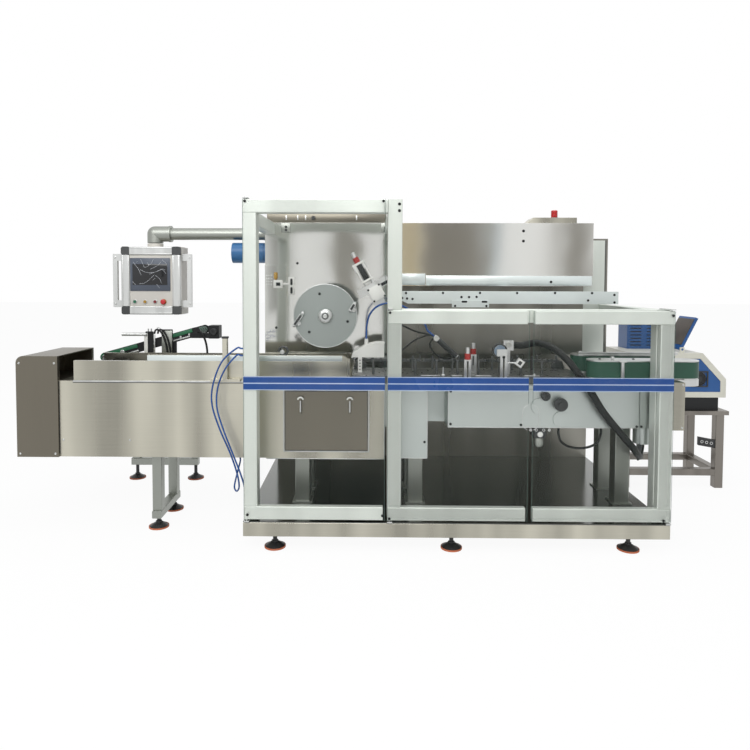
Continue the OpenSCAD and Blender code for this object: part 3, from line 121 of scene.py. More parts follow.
def noise(tree, scale, stretch=(1, 1, 1), detail=3.0):
    """Noise in the row frame's metres, drawn out along the axes with a small stretch."""
    place = add(tree, "Mapping", Vector=add(tree, "TexCoord").outputs["Object"], Scale=stretch).outputs["Vector"]
    texture = add(tree, "TexNoise", Vector=place, Scale=scale, Detail=detail, Roughness=NOISE_ROUGHNESS)
    return texture.outputs["Fac"]


def shades(tree, value, span, dark, light):
    """A colour ramp from dark to light over a span of the value."""
    ramp = add(tree, "ValToRGB", Fac=value)
    for element, place, colour in zip(ramp.color_ramp.elements, span, (dark, light)):
        element.position = place
        element.color = (*colour, 1)
    return ramp.outputs["Color"]


def between(tree, value, low, high):
    """The noise's usual span as low to high."""
    span = add(tree, "MapRange", Value=value, From_Min=WIDE[0], From_Max=WIDE[1], To_Min=low, To_Max=high)
    return span.outputs["Result"]


def blend_colours(tree, share, first, second):
    """A mix of two colours; inputs 6 and 7 and output 2 are those of the colour mix."""
    mix = add(tree, "Mix")
    mix.data_type = "RGBA"
    mix.inputs[0].default_value = share
    tree.links.new(first, mix.inputs[6])
    tree.links.new(second, mix.inputs[7])
    return mix.outputs[2]


def relief(tree, shader, height, strength, distance, edge=0.0):
    """Bump from a height, over edges that the light sees as rounded by edge metres."""
    bump = add(tree, "Bump", Height=height, Strength=strength, Distance=distance)
    if edge:
        rounded = add(tree, "Bevel", Radius=edge)
        rounded.samples = 4
        feed(tree, bump, Normal=rounded.outputs["Normal"])
    feed(tree, shader, Normal=bump.outputs["Normal"])


def brushed(name, light, dark, rough=(0.24, 0.36), grain=ALONG_X, wave=0.0, cloud=0.8, metallic=1.0, reflection_band_depth=0.84):
    """Stainless sheet: fine brush lines, soft upright bands of tone that are partly uneven sheet and partly painted
    reflection streaks, and a gentle wave where the sheet is thin.
    """
    material, tree, shader = new_material(name, Metallic=metallic)
    lines = noise(tree, 1.0, grain, 2.0)
    clouds = noise(tree, cloud, (2.2, 1, 0.15), 1.5)
    fine = shades(tree, lines, WIDE, dark, light)
    # Upright bands, long along Z and darker by the band depth: painted reflection streaks of brushed metal, partly
    # uneven tone.
    tone_and_reflection_bands = shades(tree, clouds, MIDDLE, tuple(c * reflection_band_depth for c in light), light)
    colour = blend_colours(tree, LINES_TO_CLOUDS, fine, tone_and_reflection_bands)
    feed(tree, shader, Base_Color=colour, Roughness=between(tree, clouds, *rough))
    relief(tree, shader, noise(tree, 2.2, detail=1.0), wave, 0.02, EDGE_ROUND)
    return material


def painted(name, light, dark, rough, peel=0.05, metallic=0.0):
    """Enamel or powder coat: fine orange peel and a faintly uneven tone."""
    material, tree, shader = new_material(name, Metallic=metallic)
    grain = noise(tree, 420.0, detail=2.0)
    colour = shades(tree, noise(tree, 2.4), MIDDLE, dark, light)
    feed(tree, shader, Base_Color=colour, Roughness=between(tree, grain, *rough))
    relief(tree, shader, grain, peel, 0.0005, EDGE_ROUND)
    return material


def rubbery(name, light, dark, rough=(0.55, 0.75), scale=900.0, bump=0.15):
    """Rubber, belt cover or soft plastic with a fine matt grain."""
    material, tree, shader = new_material(name)
    dust = noise(tree, 6.0, detail=4.0)
    feed(tree, shader, Base_Color=shades(tree, dust, DUSTY, dark, light), Roughness=between(tree, dust, *rough))
    relief(tree, shader, noise(tree, scale), bump, 0.0006)
    return material


def see_through(name, tint, alpha, rough, smear):
    """Clear sheet: the see-through share is even, the gloss carries faint smears."""
    material, tree, shader = new_material(name, Alpha=alpha, IOR=1.49, Specular_IOR_Level=0.3)
    streaks = noise(tree, 3.0, (1, 1, 0.35))
    colour = shades(tree, streaks, MIDDLE, tint, tuple(min(1.0, c * 1.12) for c in tint))
    feed(tree, shader, Base_Color=colour, Roughness=between(tree, streaks, rough, rough + smear))
    material.surface_render_method = "BLENDED"
    return material


def braided(name, light, dark, pitch):
    """Woven sleeve of a hose: small raised cells and a mottled tone."""
    material, tree, shader = new_material(name, Specular_IOR_Level=0.3)
    weave = noise(tree, pitch, detail=2.0)
    cells = add(tree, "TexVoronoi", Scale=pitch, Vector=add(tree, "TexCoord").outputs["Object"])
    feed(tree, shader, Base_Color=shades(tree, weave, WIDE, dark, light), Roughness=between(tree, weave, 0.45, 0.65))
    relief(tree, shader, cells.outputs["Distance"], 0.5, 0.0015)
    return material


# Materials of the record's slots
M = {plain_name(material): material for material in (
    painted("foot_black", (0.035, 0.036, 0.037), (0.02, 0.021, 0.022), (0.3, 0.45), metallic=0.4),
    rubbery("foot_rubber", (0.58, 0.17, 0.075), (0.4, 0.11, 0.05)),
    brushed("stainless", (0.6, 0.58, 0.49), (0.36, 0.345, 0.3), wave=0.1, cloud=1.9, reflection_band_depth=0.48),
    brushed("tray_mirror", (0.17, 0.175, 0.165), (0.12, 0.125, 0.12), (0.12, 0.2)),
    brushed("pale_steel", (0.34, 0.355, 0.325), (0.26, 0.27, 0.25), (0.34, 0.46), ALONG_Z),
    brushed("guard_tube", (0.68, 0.72, 0.665), (0.56, 0.595, 0.55), (0.32, 0.44), ALONG_Z, cloud=2.0, metallic=0.4),
    brushed("bright_metal", (0.64, 0.65, 0.64), (0.42, 0.43, 0.42), (0.28, 0.4), cloud=8.0),
    brushed("polished", (0.75, 0.75, 0.72), (0.66, 0.655, 0.63), (0.08, 0.14), wave=0.3),
    brushed("aluminium_rail", (0.74, 0.8, 0.79), (0.6, 0.66, 0.65), (0.28, 0.4)),
    painted("beacon_red", (0.55, 0.02, 0.018), (0.42, 0.012, 0.012), (0.15, 0.25)),
    painted("collar_red", (0.42, 0.03, 0.025), (0.3, 0.018, 0.016), (0.25, 0.4), metallic=0.3),
    painted("melter_cream", (0.7, 0.69, 0.6), (0.6, 0.59, 0.51), (0.3, 0.42)),
    painted("corner_grey", (0.055, 0.058, 0.058), (0.038, 0.04, 0.041), (0.4, 0.55)),
    brushed("plate_grey", (0.5, 0.54, 0.52), (0.38, 0.42, 0.41), (0.34, 0.48), wave=0.05),
    brushed("chain_steel", (0.19, 0.195, 0.195), (0.1, 0.103, 0.103), (0.25, 0.4), cloud=20.0),
    rubbery("belt_green", (0.018, 0.085, 0.05), (0.01, 0.055, 0.033), (0.4, 0.6), 700.0, 0.25),
    brushed("cover_steel", (0.2, 0.183, 0.148), (0.14, 0.128, 0.104), (0.3, 0.42), ALONG_Z, 0.08),
    painted("black_metal", (0.018, 0.019, 0.02), (0.01, 0.011, 0.012), (0.4, 0.55), metallic=0.5),
    painted("guard_white", (0.74, 0.74, 0.7), (0.64, 0.64, 0.6), (0.3, 0.45)),
    painted("motor_blue", (0.03, 0.15, 0.34), (0.02, 0.1, 0.25), (0.3, 0.45)),
    painted("melter_blue", (0.014, 0.095, 0.3), (0.009, 0.068, 0.23), (0.3, 0.42)),
    see_through("clear_pane", (0.3, 0.36, 0.32), 0.02, 0.02, 0.03),
    brushed("disc_grey", (0.33, 0.36, 0.345), (0.25, 0.27, 0.26), (0.42, 0.55), metallic=0.85),
    painted("pendant_grey", (0.6, 0.58, 0.53), (0.52, 0.5, 0.46), (0.35, 0.48)),
    rubbery("black_plastic", (0.032, 0.033, 0.034), (0.016, 0.017, 0.018), (0.35, 0.5)),
    braided("hose_black", (0.012, 0.0125, 0.0125), (0.004, 0.004, 0.0045), 340.0),
    rubbery("air_blue", (0.015, 0.08, 0.29), (0.009, 0.055, 0.22), (0.2, 0.32), 300.0, 0.04),
)}

# CAD nodes with a finish of their own: the table's darker steel, and for the rear cabinet a darker copy of the
# stainless that paints the dark reflection of the machine's inside
TABLE_STEEL = brushed(
    "table_steel", (0.27, 0.25, 0.225), (0.16, 0.148, 0.133), (0.3, 0.42), ALONG_Z, cloud=3.0, reflection_band_depth=0.6)
# A darker copy of the stainless: painted dark reflection of the machine's inside on the rear cabinet's front.
REAR_PAINTED_REFLECTION = brushed("rear_steel_painted_reflection", (0.33, 0.32, 0.285), (0.21, 0.2, 0.178), wave=0.1, cloud=1.9, reflection_band_depth=0.55)
OWN_FINISH_AND_PAINTED_REFLECTION = {"table_top": TABLE_STEEL, "table_legs": TABLE_STEEL, "rear_cabinet": REAR_PAINTED_REFLECTION}

# Small finishes that no CAD node has
CAP_GLOSS = (0.2, 0.3)
FILM = see_through("film_blue", (0.018, 0.068, 0.25), 0.82, 0.12, 0.2)
FILM_LINE = see_through("film_line", (0.45, 0.55, 0.75), 0.7, 0.12, 0.2)
EDGE_GREEN = see_through("pane_edge", (0.1, 0.15, 0.13), 0.75, 0.1, 0.1)
SLATE = painted("bezel_slate", (0.075, 0.09, 0.12), (0.055, 0.068, 0.095), (0.3, 0.4))
DISPLAY = painted("display_glass", (0.014, 0.015, 0.017), (0.008, 0.008, 0.01), (0.05, 0.12), peel=0.0)
# Whitish colour of the crease ribs: painted highlights along the film's creases.
CREASE_HIGHLIGHT = painted("crease_painted_highlight", (0.62, 0.64, 0.68), (0.42, 0.44, 0.48), CAP_GLOSS)
GREEN_CAP = painted("cap_green", (0.005, 0.17, 0.075), (0.004, 0.11, 0.05), CAP_GLOSS)
AMBER_CAP = painted("cap_amber", (0.46, 0.26, 0.03), (0.34, 0.19, 0.02), CAP_GLOSS)
DARK_RED_CAP = painted("cap_dark_red", (0.24, 0.014, 0.016), (0.16, 0.01, 0.012), CAP_GLOSS)
RED_CAP = painted("cap_red", (0.56, 0.02, 0.026), (0.44, 0.014, 0.02), CAP_GLOSS)
LID_LINING = rubbery("lid_lining", (0.1, 0.085, 0.07), (0.05, 0.042, 0.036), (0.5, 0.7), 300.0, 0.3)
WHEEL_BLUE = painted("wheel_blue_grey", (0.2, 0.27, 0.34), (0.13, 0.18, 0.24), (0.25, 0.4))
BELT_EDGE = rubbery("belt_edge", (0.02, 0.15, 0.065), (0.012, 0.1, 0.045), (0.4, 0.55))


def dress_nodes():
    """Each CAD node takes the material of its slot in the record, or a finish of its own; the rear cabinet's is a
    painted dark reflection.
    """
    for node_name, part in NODES.items():
        found = plain_name(part.data.materials[0])
        part.data.materials.clear()
        part.data.materials.append(OWN_FINISH_AND_PAINTED_REFLECTION.get(node_name, M[found]))


dress_nodes()


# Flat outlines, lines and slopes

ROUND_STEPS = 8


def rectangle(a0, a1, b0, b1):
    return [(a0, b0), (a1, b0), (a1, b1), (a0, b1)]


def stadium(length, width):
    """A flat outline with round ends, about its middle."""
    reach, radius = (length - width) / 2, width / 2
    turns = [math.pi * (k / ROUND_STEPS - 0.5) for k in range(ROUND_STEPS + 1)]
    right = [(reach + radius * math.cos(t), radius * math.sin(t)) for t in turns]
    return right + [(-u, -v) for u, v in right]


def arc(middle, half_width, half_height, parts, steps):
    """Points of an oval that faces the front; a half turn has that many parts."""
    x, y, z = middle
    turns = [math.pi * k / parts for k in steps]
    return [(x + half_width * math.cos(t), y, z + half_height * math.sin(t)) for t in turns]


def tilted(degrees):
    """Two directions in the plane of the front: along the slope, and across it."""
    turn = math.radians(degrees)
    return Vector((math.cos(turn), 0, math.sin(turn))), Vector((-math.sin(turn), 0, math.cos(turn)))


def slope(corner, degrees):
    """A slope's two directions, and a function for places on it: along, across and depth Y."""
    u, v = tilted(degrees)

    def local(a, b, y):
        return Vector((corner[0], y, corner[1])) + u * a + v * b

    return u, v, local


# Free hoses: the routes of the part's source, in machine millimetres

HOSE_D, AIR_D, FEEDER_D, CABLE_D = 40, 10, 12, 14
ROUTE_STEPS, LEAD_STEPS = 6, 5
GLUE_ROUTE = [
    (1560, 330, 1120), (1590, 330, 1120), (1620, 330, 1120), (1695, 295, 1138), (1760, 205, 1118),
    (1815, 132, 1065), (1862, 98, 1000), (1938, 92, 893), (2016, 92, 769), (2110, 96, 655), (2190, 115, 568),
    (2270, 210, 490), (2350, 380, 445), (2430, 560, 445), (2510, 740, 485), (2585, 890, 550), (2655, 1020, 604),
    (2690, 1080, 612), (2690, 1110, 612), (2690, 1140, 612),
]
AIR_ROUTE_A = [
    (0, 90, 1120), (-25, 90, 1120), (-50, 90, 1120), (-140, 115, 1040), (-200, 150, 900), (-210, 170, 780),
    (-170, 180, 640), (-110, 180, 500), (-70, 180, 380), (-60, 190, 300), (-80, 220, 260), (-105, 270, 270),
    (-100, 320, 330), (-85, 345, 400), (-85, 345, 426), (-85, 345, 452),
]
AIR_ROUTE_B = [
    (0, 90, 1080), (-25, 90, 1080), (-50, 90, 1080), (-120, 115, 1000), (-170, 145, 890), (-180, 160, 770),
    (-145, 165, 640), (-90, 160, 500), (-50, 155, 400), (-30, 165, 330), (-30, 200, 285), (-40, 255, 285),
    (-50, 305, 340), (-45, 325, 400), (-45, 325, 426), (-45, 325, 452),
]
ARM_TOP, ARM_ALONG = Vector((1096, 400, 1166)), tilted(-42)[0]
FEEDER_ROUTE = [
    (682, 390, 1150), (682, 390, 1172), (682, 390, 1194), (686, 382, 1244), (702, 352, 1300), (740, 324, 1346),
    (800, 310, 1370), (872, 314, 1364), (940, 336, 1330), (998, 366, 1282), (1040, 388, 1236),
    *(ARM_TOP - ARM_ALONG * reach for reach in (56, 28, 0)),
]
CABLE_ROUTE = [
    (1800, 200, 665), (1800, 200, 643), (1800, 200, 621), (1815, 200, 575), (1858, 200, 545), (1922.5, 200, 534),
    (1987, 200, 545), (2030, 200, 575), (2045, 200, 621), (2045, 200, 643), (2045, 200, 665),
]


def smooth_line(points, steps=ROUTE_STEPS):
    """Catmull-Rom points through a line of points."""
    knots = [Vector(p) for p in points]
    ends = [2 * knots[0] - knots[1], *knots, 2 * knots[-1] - knots[-2]]
    line = []
    for a, b, c, d in zip(ends, ends[1:], ends[2:], ends[3:]):
        square, cube = 2 * a - 5 * b + 4 * c - d, 3 * b - a - 3 * c + d
        for k in range(steps):
            t = k / steps
            line.append(0.5 * (2 * b + (c - a) * t + square * t ** 2 + cube * t ** 3))
    return [*line, knots[-1]]


def make_hose(node_name, route, diameter, material_slot):
    """A hose that stands for a CAD node."""
    name = node_name + "_sleeve"
    line = smooth_line([at(*p) for p in route])
    data = bpy.data.curves.new(name, "CURVE")
    data.dimensions = "3D"
    data.bevel_depth = diameter * MM / 2
    data.bevel_resolution = 4
    data.use_fill_caps = True
    spline = data.splines.new("POLY")
    spline.points.add(len(line) - 1)
    for point, place in zip(spline.points, line):
        point.co = (*place, 1)
    spline.use_smooth = True
    data.materials.append(M[material_slot])
    hose = new_object(name, data)
    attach(hose, "machine")
    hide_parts(node_name)


make_hose("glue_hose", GLUE_ROUTE, HOSE_D, "hose_black")
make_hose("air_tube_a", AIR_ROUTE_A, AIR_D, "air_blue")
make_hose("air_tube_b", AIR_ROUTE_B, AIR_D, "air_blue")
make_hose("feeder_hose", FEEDER_ROUTE, FEEDER_D, "air_blue")
make_hose("bed_cable", CABLE_ROUTE, CABLE_D, "hose_black")


# Stage and light

FLOOR_HALF, FLOOR_COLOUR, FLOOR_GLOW = 40.0, (0.86, 0.86, 0.85, 1), 0.94
SKY_COLOUR, SKY_STRENGTH = (0.97, 0.98, 1.0, 1), 0.62
CARD_Y, CARD_Z, CARD_DIM = -7.5, (0.9, 2.9), 0.8
CARDS = {   # left, right and colour
    "card_wall_grey": (-2.17, -1.78, (0.45, 0.45, 0.42)), "card_wall_dark": (-0.84, -0.46, (0.45, 0.42, 0.36)),
    "card_warm": (0.2, 0.75, (0.95, 0.8, 0.52)), "card_dark": (0.78, 1.93, (0.4, 0.37, 0.32)),
    "card_light": (1.95, 2.20, (0.85, 0.95, 1.0)), "card_right": (3.20, 3.90, (0.4, 0.37, 0.32)),
}


def mix_background(tree, share, lit, seen, output):
    """The lit shader, with a share of the seen one for rays from the camera, off metal or through glass."""
    path = add(tree, "LightPath")
    looks = path.outputs["Is Camera Ray"]
    for ray in ("Is Glossy Ray", "Is Transmission Ray"):
        either = add(tree, "Math")
        either.operation = "MAXIMUM"
        tree.links.new(looks, either.inputs[0])
        tree.links.new(path.outputs[ray], either.inputs[1])
        looks = either.outputs[0]
    scaled = add(tree, "Math")
    scaled.operation = "MULTIPLY"
    scaled.inputs[1].default_value = share
    tree.links.new(looks, scaled.inputs[0])
    mix = add(tree, "MixShader")
    for source, socket in zip((scaled, lit, seen), mix.inputs):
        tree.links.new(source.outputs[0], socket)
    feed(tree, tree.nodes[output], Surface=mix.outputs[0])


def make_world():
    world = bpy.data.worlds.new("studio")
    bpy.context.scene.world = world
    world.use_nodes = True
    tree = world.node_tree
    light = feed(tree, tree.nodes["Background"], Color=SKY_COLOUR, Strength=SKY_STRENGTH)
    white = add(tree, "Background", Color=(1, 1, 1, 1), Strength=1.0)
    mix_background(tree, 1.0, light, white, "World Output")


def make_sheet(name, corners):
    """An object of one face."""
    data = bpy.data.meshes.new(name)
    data.from_pydata(corners, [], [(0, 1, 2, 3)])
    return new_object(name, data)


def make_floor():
    corners = rectangle(-FLOOR_HALF, FLOOR_HALF, -FLOOR_HALF, FLOOR_HALF)
    floor = make_sheet("floor", [(x, y, 0) for x, y in corners])
    material, tree, shader = new_material("floor_pale", Roughness=0.9, Base_Color=FLOOR_COLOUR)
    mix_background(tree, FLOOR_GLOW, shader, add(tree, "Emission"), "Material Output")
    floor.data.materials.append(material)


def make_lamp(name, place, target, size, energy):
    data = bpy.data.lights.new(name, "AREA")
    data.shape = "RECTANGLE"
    data.size, data.size_y = size
    data.energy = energy
    lamp = new_object(name, data)
    lamp.location = place
    lamp.rotation_euler = (Vector(target) - Vector(place)).to_track_quat("-Z", "Y").to_euler()


def make_card(name, left, right, colour):
    """A plain studio card behind the camera, seen only in the metal."""
    card = make_sheet(name, [(x, CARD_Y, z) for x, z in rectangle(left, right, *CARD_Z)])
    material, tree, shader = new_material(name + "_cloth", Roughness=0.95)
    dim = tuple(c * CARD_DIM for c in colour)
    feed(tree, shader, Base_Color=shades(tree, noise(tree, 0.7), WIDE, dim, colour))
    card.data.materials.append(material)
    card.visible_camera = False
    card.visible_diffuse = False
    card.visible_shadow = False


make_world()
make_floor()
make_lamp("lamp_front", (-1.5, -5.0, 4.6), (0, 0, 1.0), (5.0, 2.5), 190)
make_lamp("lamp_top", (0.6, -0.6, 5.2), (0.2, 0, 0.8), (5.0, 3.0), 95)
for card_name, card_values in CARDS.items():
    make_card(card_name, *card_values)


# Pieces of detail, collected in machine millimetres

BRIGHT, DARK, PLASTIC, WHITE = "bright_metal", "black_metal", "black_plastic", "guard_white"
SMOOTH_ANGLE, BEVEL_STEPS = 28, 2
WASHER = 1.4


class Piece:
    """One visible piece: shapes go into one mesh that rides on a body and takes one material.

    A material given by its name is a slot of the record; the other materials have no slot.
    """

    def __init__(self, name, material, body="machine"):
        self.name, self.body = name, body
        self.slot = material if isinstance(material, str) else None
        self.material = M[material] if self.slot else material
        self.mesh = bmesh.new()

    def soften(self, edges, bevel):
        if bevel:
            bmesh.ops.bevel(
                self.mesh, geom=list(dict.fromkeys(edges)), offset=bevel, segments=BEVEL_STEPS, affect="EDGES",
                profile=0.5)

    def ring(self, centre, side, other, radius, sides):
        """New vertices round a centre."""
        turns = [2 * math.pi * k / sides for k in range(sides)]
        return [self.mesh.verts.new(centre + (side * math.cos(t) + other * math.sin(t)) * radius) for t in turns]

    def skin(self, rings, sides):
        """Faces from ring to ring; a ring of one vertex is a tip."""
        for low, high in zip(rings, rings[1:]):
            for k in range(sides):
                nxt = (k + 1) % sides
                corners = [low[k % len(low)], low[nxt % len(low)], high[nxt % len(high)], high[k % len(high)]]
                self.mesh.faces.new(list(dict.fromkeys(corners)))

    def box(self, low, high, bevel=0.0):
        size = Vector(high) - Vector(low)
        place = Matrix.Translation((Vector(low) + Vector(high)) / 2) @ Matrix.Diagonal((*size, 1))
        made = bmesh.ops.create_cube(self.mesh, size=1.0, matrix=place)["verts"]
        self.soften([e for v in made for e in v.link_edges], bevel)
        return self

    def frame(self, low, high, bar, bevel):
        """Four bars round a box's front."""
        (x0, y0, z0), (x1, y1, z1) = low, high
        self.box((x0, y0, z0), (x1, y1, z0 + bar), bevel)
        self.box((x0, y0, z1 - bar), (x1, y1, z1), bevel)
        self.box((x0, y0, z0 + bar), (x0 + bar, y1, z1 - bar), bevel)
        self.box((x1 - bar, y0, z0 + bar), (x1, y1, z1 - bar), bevel)
        return self

    def turned(self, start, direction, profile, sides=24):
        """A turned shape along a direction; profile is (distance from start, radius) pairs."""
        start, axis = Vector(start), Vector(direction).normalized()
        side = axis.orthogonal().normalized()
        other = axis.cross(side)
        rings = []
        for along, radius in profile:
            centre = start + axis * along
            tip = radius <= 0
            rings.append([self.mesh.verts.new(centre)] if tip else self.ring(centre, side, other, radius, sides))
        self.skin(rings, sides)
        return self

    def rod(self, start, end, radius, bevel):
        span = Vector(end) - Vector(start)
        length = span.length
        return self.turned(start, span, [
            (0, 0), (0, radius - bevel), (bevel, radius), (length - bevel, radius), (length, radius - bevel),
            (length, 0),
        ])

    def screw(self, place, size, normal=FRONT):
        """A socket-head screw: round head on a thin washer, with a round socket."""
        head, washer, rise = size * 0.75, size * 0.95, size * 0.55
        return self.turned(place, normal, [
            (0, washer), (1.2, washer), (1.2, head), (rise, head), (rise + 0.6, head - 0.6),
            (rise + 0.6, size * 0.42), (rise - size * 0.2, size * 0.38), (rise - size * 0.2, 0),
        ], 12)

    def face_screws(self, places, y, size):
        """Screws at (x, z) places on a face that looks to the front."""
        for x, z in places:
            self.screw((x, y, z), size)
        return self

    def hexagon(self, place, size, rise, normal):
        """A hexagon head on a washer."""
        place, normal = Vector(place), Vector(normal)
        self.turned(place, normal, [(0, size * 0.72), (WASHER, size * 0.72), (WASHER, 0)], 20)
        return self.turned(place + normal * WASHER, normal, [
            (0, size * 0.577), (rise - 1.2, size * 0.577), (rise - 0.4, size * 0.5), (rise - 0.4, 0),
        ], 6)

    def pipe(self, points, radius, sides):
        """A round bar bent along points."""
        points = [Vector(p) for p in points]
        rings = []
        side = None
        for k, point in enumerate(points):
            ahead = (points[min(k + 1, len(points) - 1)] - points[max(k - 1, 0)]).normalized()
            side = ahead.orthogonal() if side is None else side - ahead * side.dot(ahead)
            side.normalize()
            rings.append(self.ring(point, side, ahead.cross(side), radius, sides))
        self.skin(rings, sides)
        self.mesh.faces.new(list(reversed(rings[0])))
        self.mesh.faces.new(rings[-1])
        return self

    def plate(self, outline, origin, u, v, depth, bevel=0.0):
        """A flat plate: outline is (u, v) points from origin, and depth goes along u x v."""
        origin, u, v = Vector(origin), Vector(u).normalized(), Vector(v).normalized()
        out = u.cross(v) * depth
        low = [self.mesh.verts.new(origin + u * a + v * b) for a, b in outline]
        high = [self.mesh.verts.new(p.co + out) for p in low]
        ends = [self.mesh.faces.new(list(reversed(low))), self.mesh.faces.new(high)]
        self.skin([low, high], len(low))
        self.soften([e for f in ends for e in f.edges], bevel)
        return self

    def done(self):
        """The shapes as one object in the row frame, on its body and with its material."""
        to_frame = Matrix.Scale(MM, 4) @ Matrix.Translation((-MID_X, -MID_Y, 0))
        bmesh.ops.recalc_face_normals(self.mesh, faces=self.mesh.faces)
        bmesh.ops.transform(self.mesh, matrix=to_frame, verts=self.mesh.verts)
        data = bpy.data.meshes.new(self.name)
        self.mesh.to_mesh(data)
        self.mesh.free()
        for face in data.polygons:
            face.use_smooth = True
        data.set_sharp_from_angle(angle=math.radians(SMOOTH_ANGLE))
        data.materials.append(self.material)
        made = new_object(self.name, data)
        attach(made, self.body)
        return made


def turned_piece(name, material, places, profile, sides=24, direction=FRONT, body="machine"):
    """A piece of one turned shape at one or more places."""
    piece = Piece(name, material, body)
    for place in places:
        piece.turned(place, direction, profile, sides)
    return piece.done()


# Film band across the panes; a pane is its left, right and top

PANES = {"left_door": (6, 786, 1947), "middle_door": (800, 1572, 1342), "right_door": (1594, 2360, 1342)}
FILM_Y, FILM_Z = (-6.6, -6.1), (905, 973)
FILM_LINE_H, FILM_EDGE_H = 6, 4
FILM_MARGIN, LINE_MARGIN = 1, 0.2


def make_film():
    low, high = FILM_Z
    middle = (low + high) / 2
    line_low, line_high = middle - FILM_LINE_H / 2, middle + FILM_LINE_H / 2
    for door, (left, right, _) in PANES.items():
        x0, x1 = left + FILM_MARGIN, right - FILM_MARGIN
        stripes = Piece(door + "_film", FILM, door)
        for z0, z1 in ((low, line_low), (line_high, high)):
            stripes.box((x0, FILM_Y[0], z0), (x1, FILM_Y[1], z1))
        stripes.done()
        line = Piece(door + "_film_line", FILM_LINE, door)
        for z0, z1 in ((low - FILM_EDGE_H, low), (line_low, line_high), (high, high + FILM_EDGE_H)):
            line.box((x0, FILM_Y[0], z0 + LINE_MARGIN), (x1, FILM_Y[1], z1 - LINE_MARGIN))
        line.done()


make_film()


# Pendant: bezel, display under creased film, push buttons, profile lips

PANEL_Y = 727
BEZEL_LOW, BEZEL_HIGH = (-891, PANEL_Y - 5, 1433), (-623, PANEL_Y, 1652)
SCREEN_LOW, SCREEN_HIGH = (-875, PANEL_Y - 6, 1473), (-642, PANEL_Y - 5, 1612)
CREASE_Y = PANEL_Y - 6.2
CREASES = [     # right of and below the bezel's upper left corner
    [(22, 27), (57, 74), (75, 115)], [(72, 9), (87, 39), (101, 62), (140, 39), (157, 9)],
    [(137, 74), (181, 53), (207, 27)], [(216, 12), (249, 41)], [(69, 77), (110, 95), (163, 95), (210, 74), (234, 77)],
    [(128, 107), (181, 89), (216, 77), (240, 104)], [(16, 157), (37, 178)],
    [(60, 172), (98, 166), (140, 133), (163, 110)], [(151, 148), (169, 133)], [(178, 175), (196, 198)],
    [(169, 115), (198, 139), (210, 169)], [(40, 30), (52, 22)], [(118, 30), (126, 46), (132, 40)],
]
BUTTON_Z = 1361
BUTTONS = {"green": (-862, GREEN_CAP), "amber": (-794, AMBER_CAP), "dark_red": (-727, DARK_RED_CAP)}
BUTTON_RING = [(0, 15), (3, 15), (4, 14), (4, 11), (0, 11)]
BUTTON_CAP = [(0, 10.4), (7, 10.4), (8.4, 9.6), (9, 8), (8.2, 5), (8.2, 0)]
STOP_AT = (-670, PANEL_Y, BUTTON_Z)
STOP_CAP = [(0, 13), (6, 13), (7, 17), (15, 17.5), (19, 15), (21, 9), (21.4, 0)]
STOP_COLLAR = [(0, 19), (1.5, 19), (2, 18.4), (2, 13.2)]
LIP_Y, LIP_W = (717.6, 719), 5
EAR_Y = 749


def make_pendant():
    Piece("pendant_bezel", SLATE, "pendant").box(BEZEL_LOW, BEZEL_HIGH, 2.0).done()
    Piece("pendant_display", DISPLAY, "pendant").box(SCREEN_LOW, SCREEN_HIGH, 0.4).done()
    # Raised crease ribs in a whitish colour that paints the creases' highlights.
    film = Piece("pendant_film_creases", CREASE_HIGHLIGHT, "pendant")
    for crease in CREASES:
        line = [(BEZEL_LOW[0] + x, CREASE_Y, BEZEL_HIGH[2] - z) for x, z in crease]
        film.pipe(smooth_line(line, LEAD_STEPS), 0.9, 6)
    film.done()
    for name, (x, cap_material) in BUTTONS.items():
        places = [(x, PANEL_Y, BUTTON_Z)]
        turned_piece("button_ring_" + name, BRIGHT, places, BUTTON_RING, 28, body="pendant")
        turned_piece("button_cap_" + name, cap_material, places, BUTTON_CAP, 28, body="pendant")
    turned_piece("button_stop", RED_CAP, [STOP_AT], STOP_CAP, 32, body="pendant")
    turned_piece("button_stop_collar", AMBER_CAP, [STOP_AT], STOP_COLLAR, 32, body="pendant")
    lips = Piece("pendant_frame_lips", BRIGHT, "pendant")
    for z in (1284, 1322, 1676, 1716):
        lips.box((-893, LIP_Y[0], z), (-611, LIP_Y[1], z + LIP_W), 0.6)
    for x in (-942, -904, -605, -567):
        lips.box((x, LIP_Y[0], 1333), (x + LIP_W, LIP_Y[1], 1671), 0.6)
    lips.done()
    ears = [(x, z) for x in (-1001, -503) for z in (1347, 1657)]
    Piece("pendant_screws", BRIGHT, "pendant").face_screws(ears, EAR_Y, 9).done()


make_pendant()


# Carton feeder: hub dome and seat, disc rim (a bright chamfer ring that paints the edge highlight) and screws

ROTOR = (438, 300, 1294)
HUB_DOME = [(0, 42), (2, 42), (6, 39), (10, 33), (13, 24), (13, 21.4)]
HUB_NUT = [(0, 12.5), (6.5, 12), (7.5, 11), (7.5, 6), (1.5, 5.4), (1.5, 0)]
HUB_SEAT = [(0, 21), (2, 20.4), (2.6, 18), (2.6, 0)]
DISC_RIM = [(-0.2, 190.8), (0.8, 190.2), (1.2, 188.5), (0, 187)]


def on_rotor(radius, degrees, y):
    turn = math.radians(degrees)
    return (ROTOR[0] + radius * math.cos(turn), y, ROTOR[2] + radius * math.sin(turn))


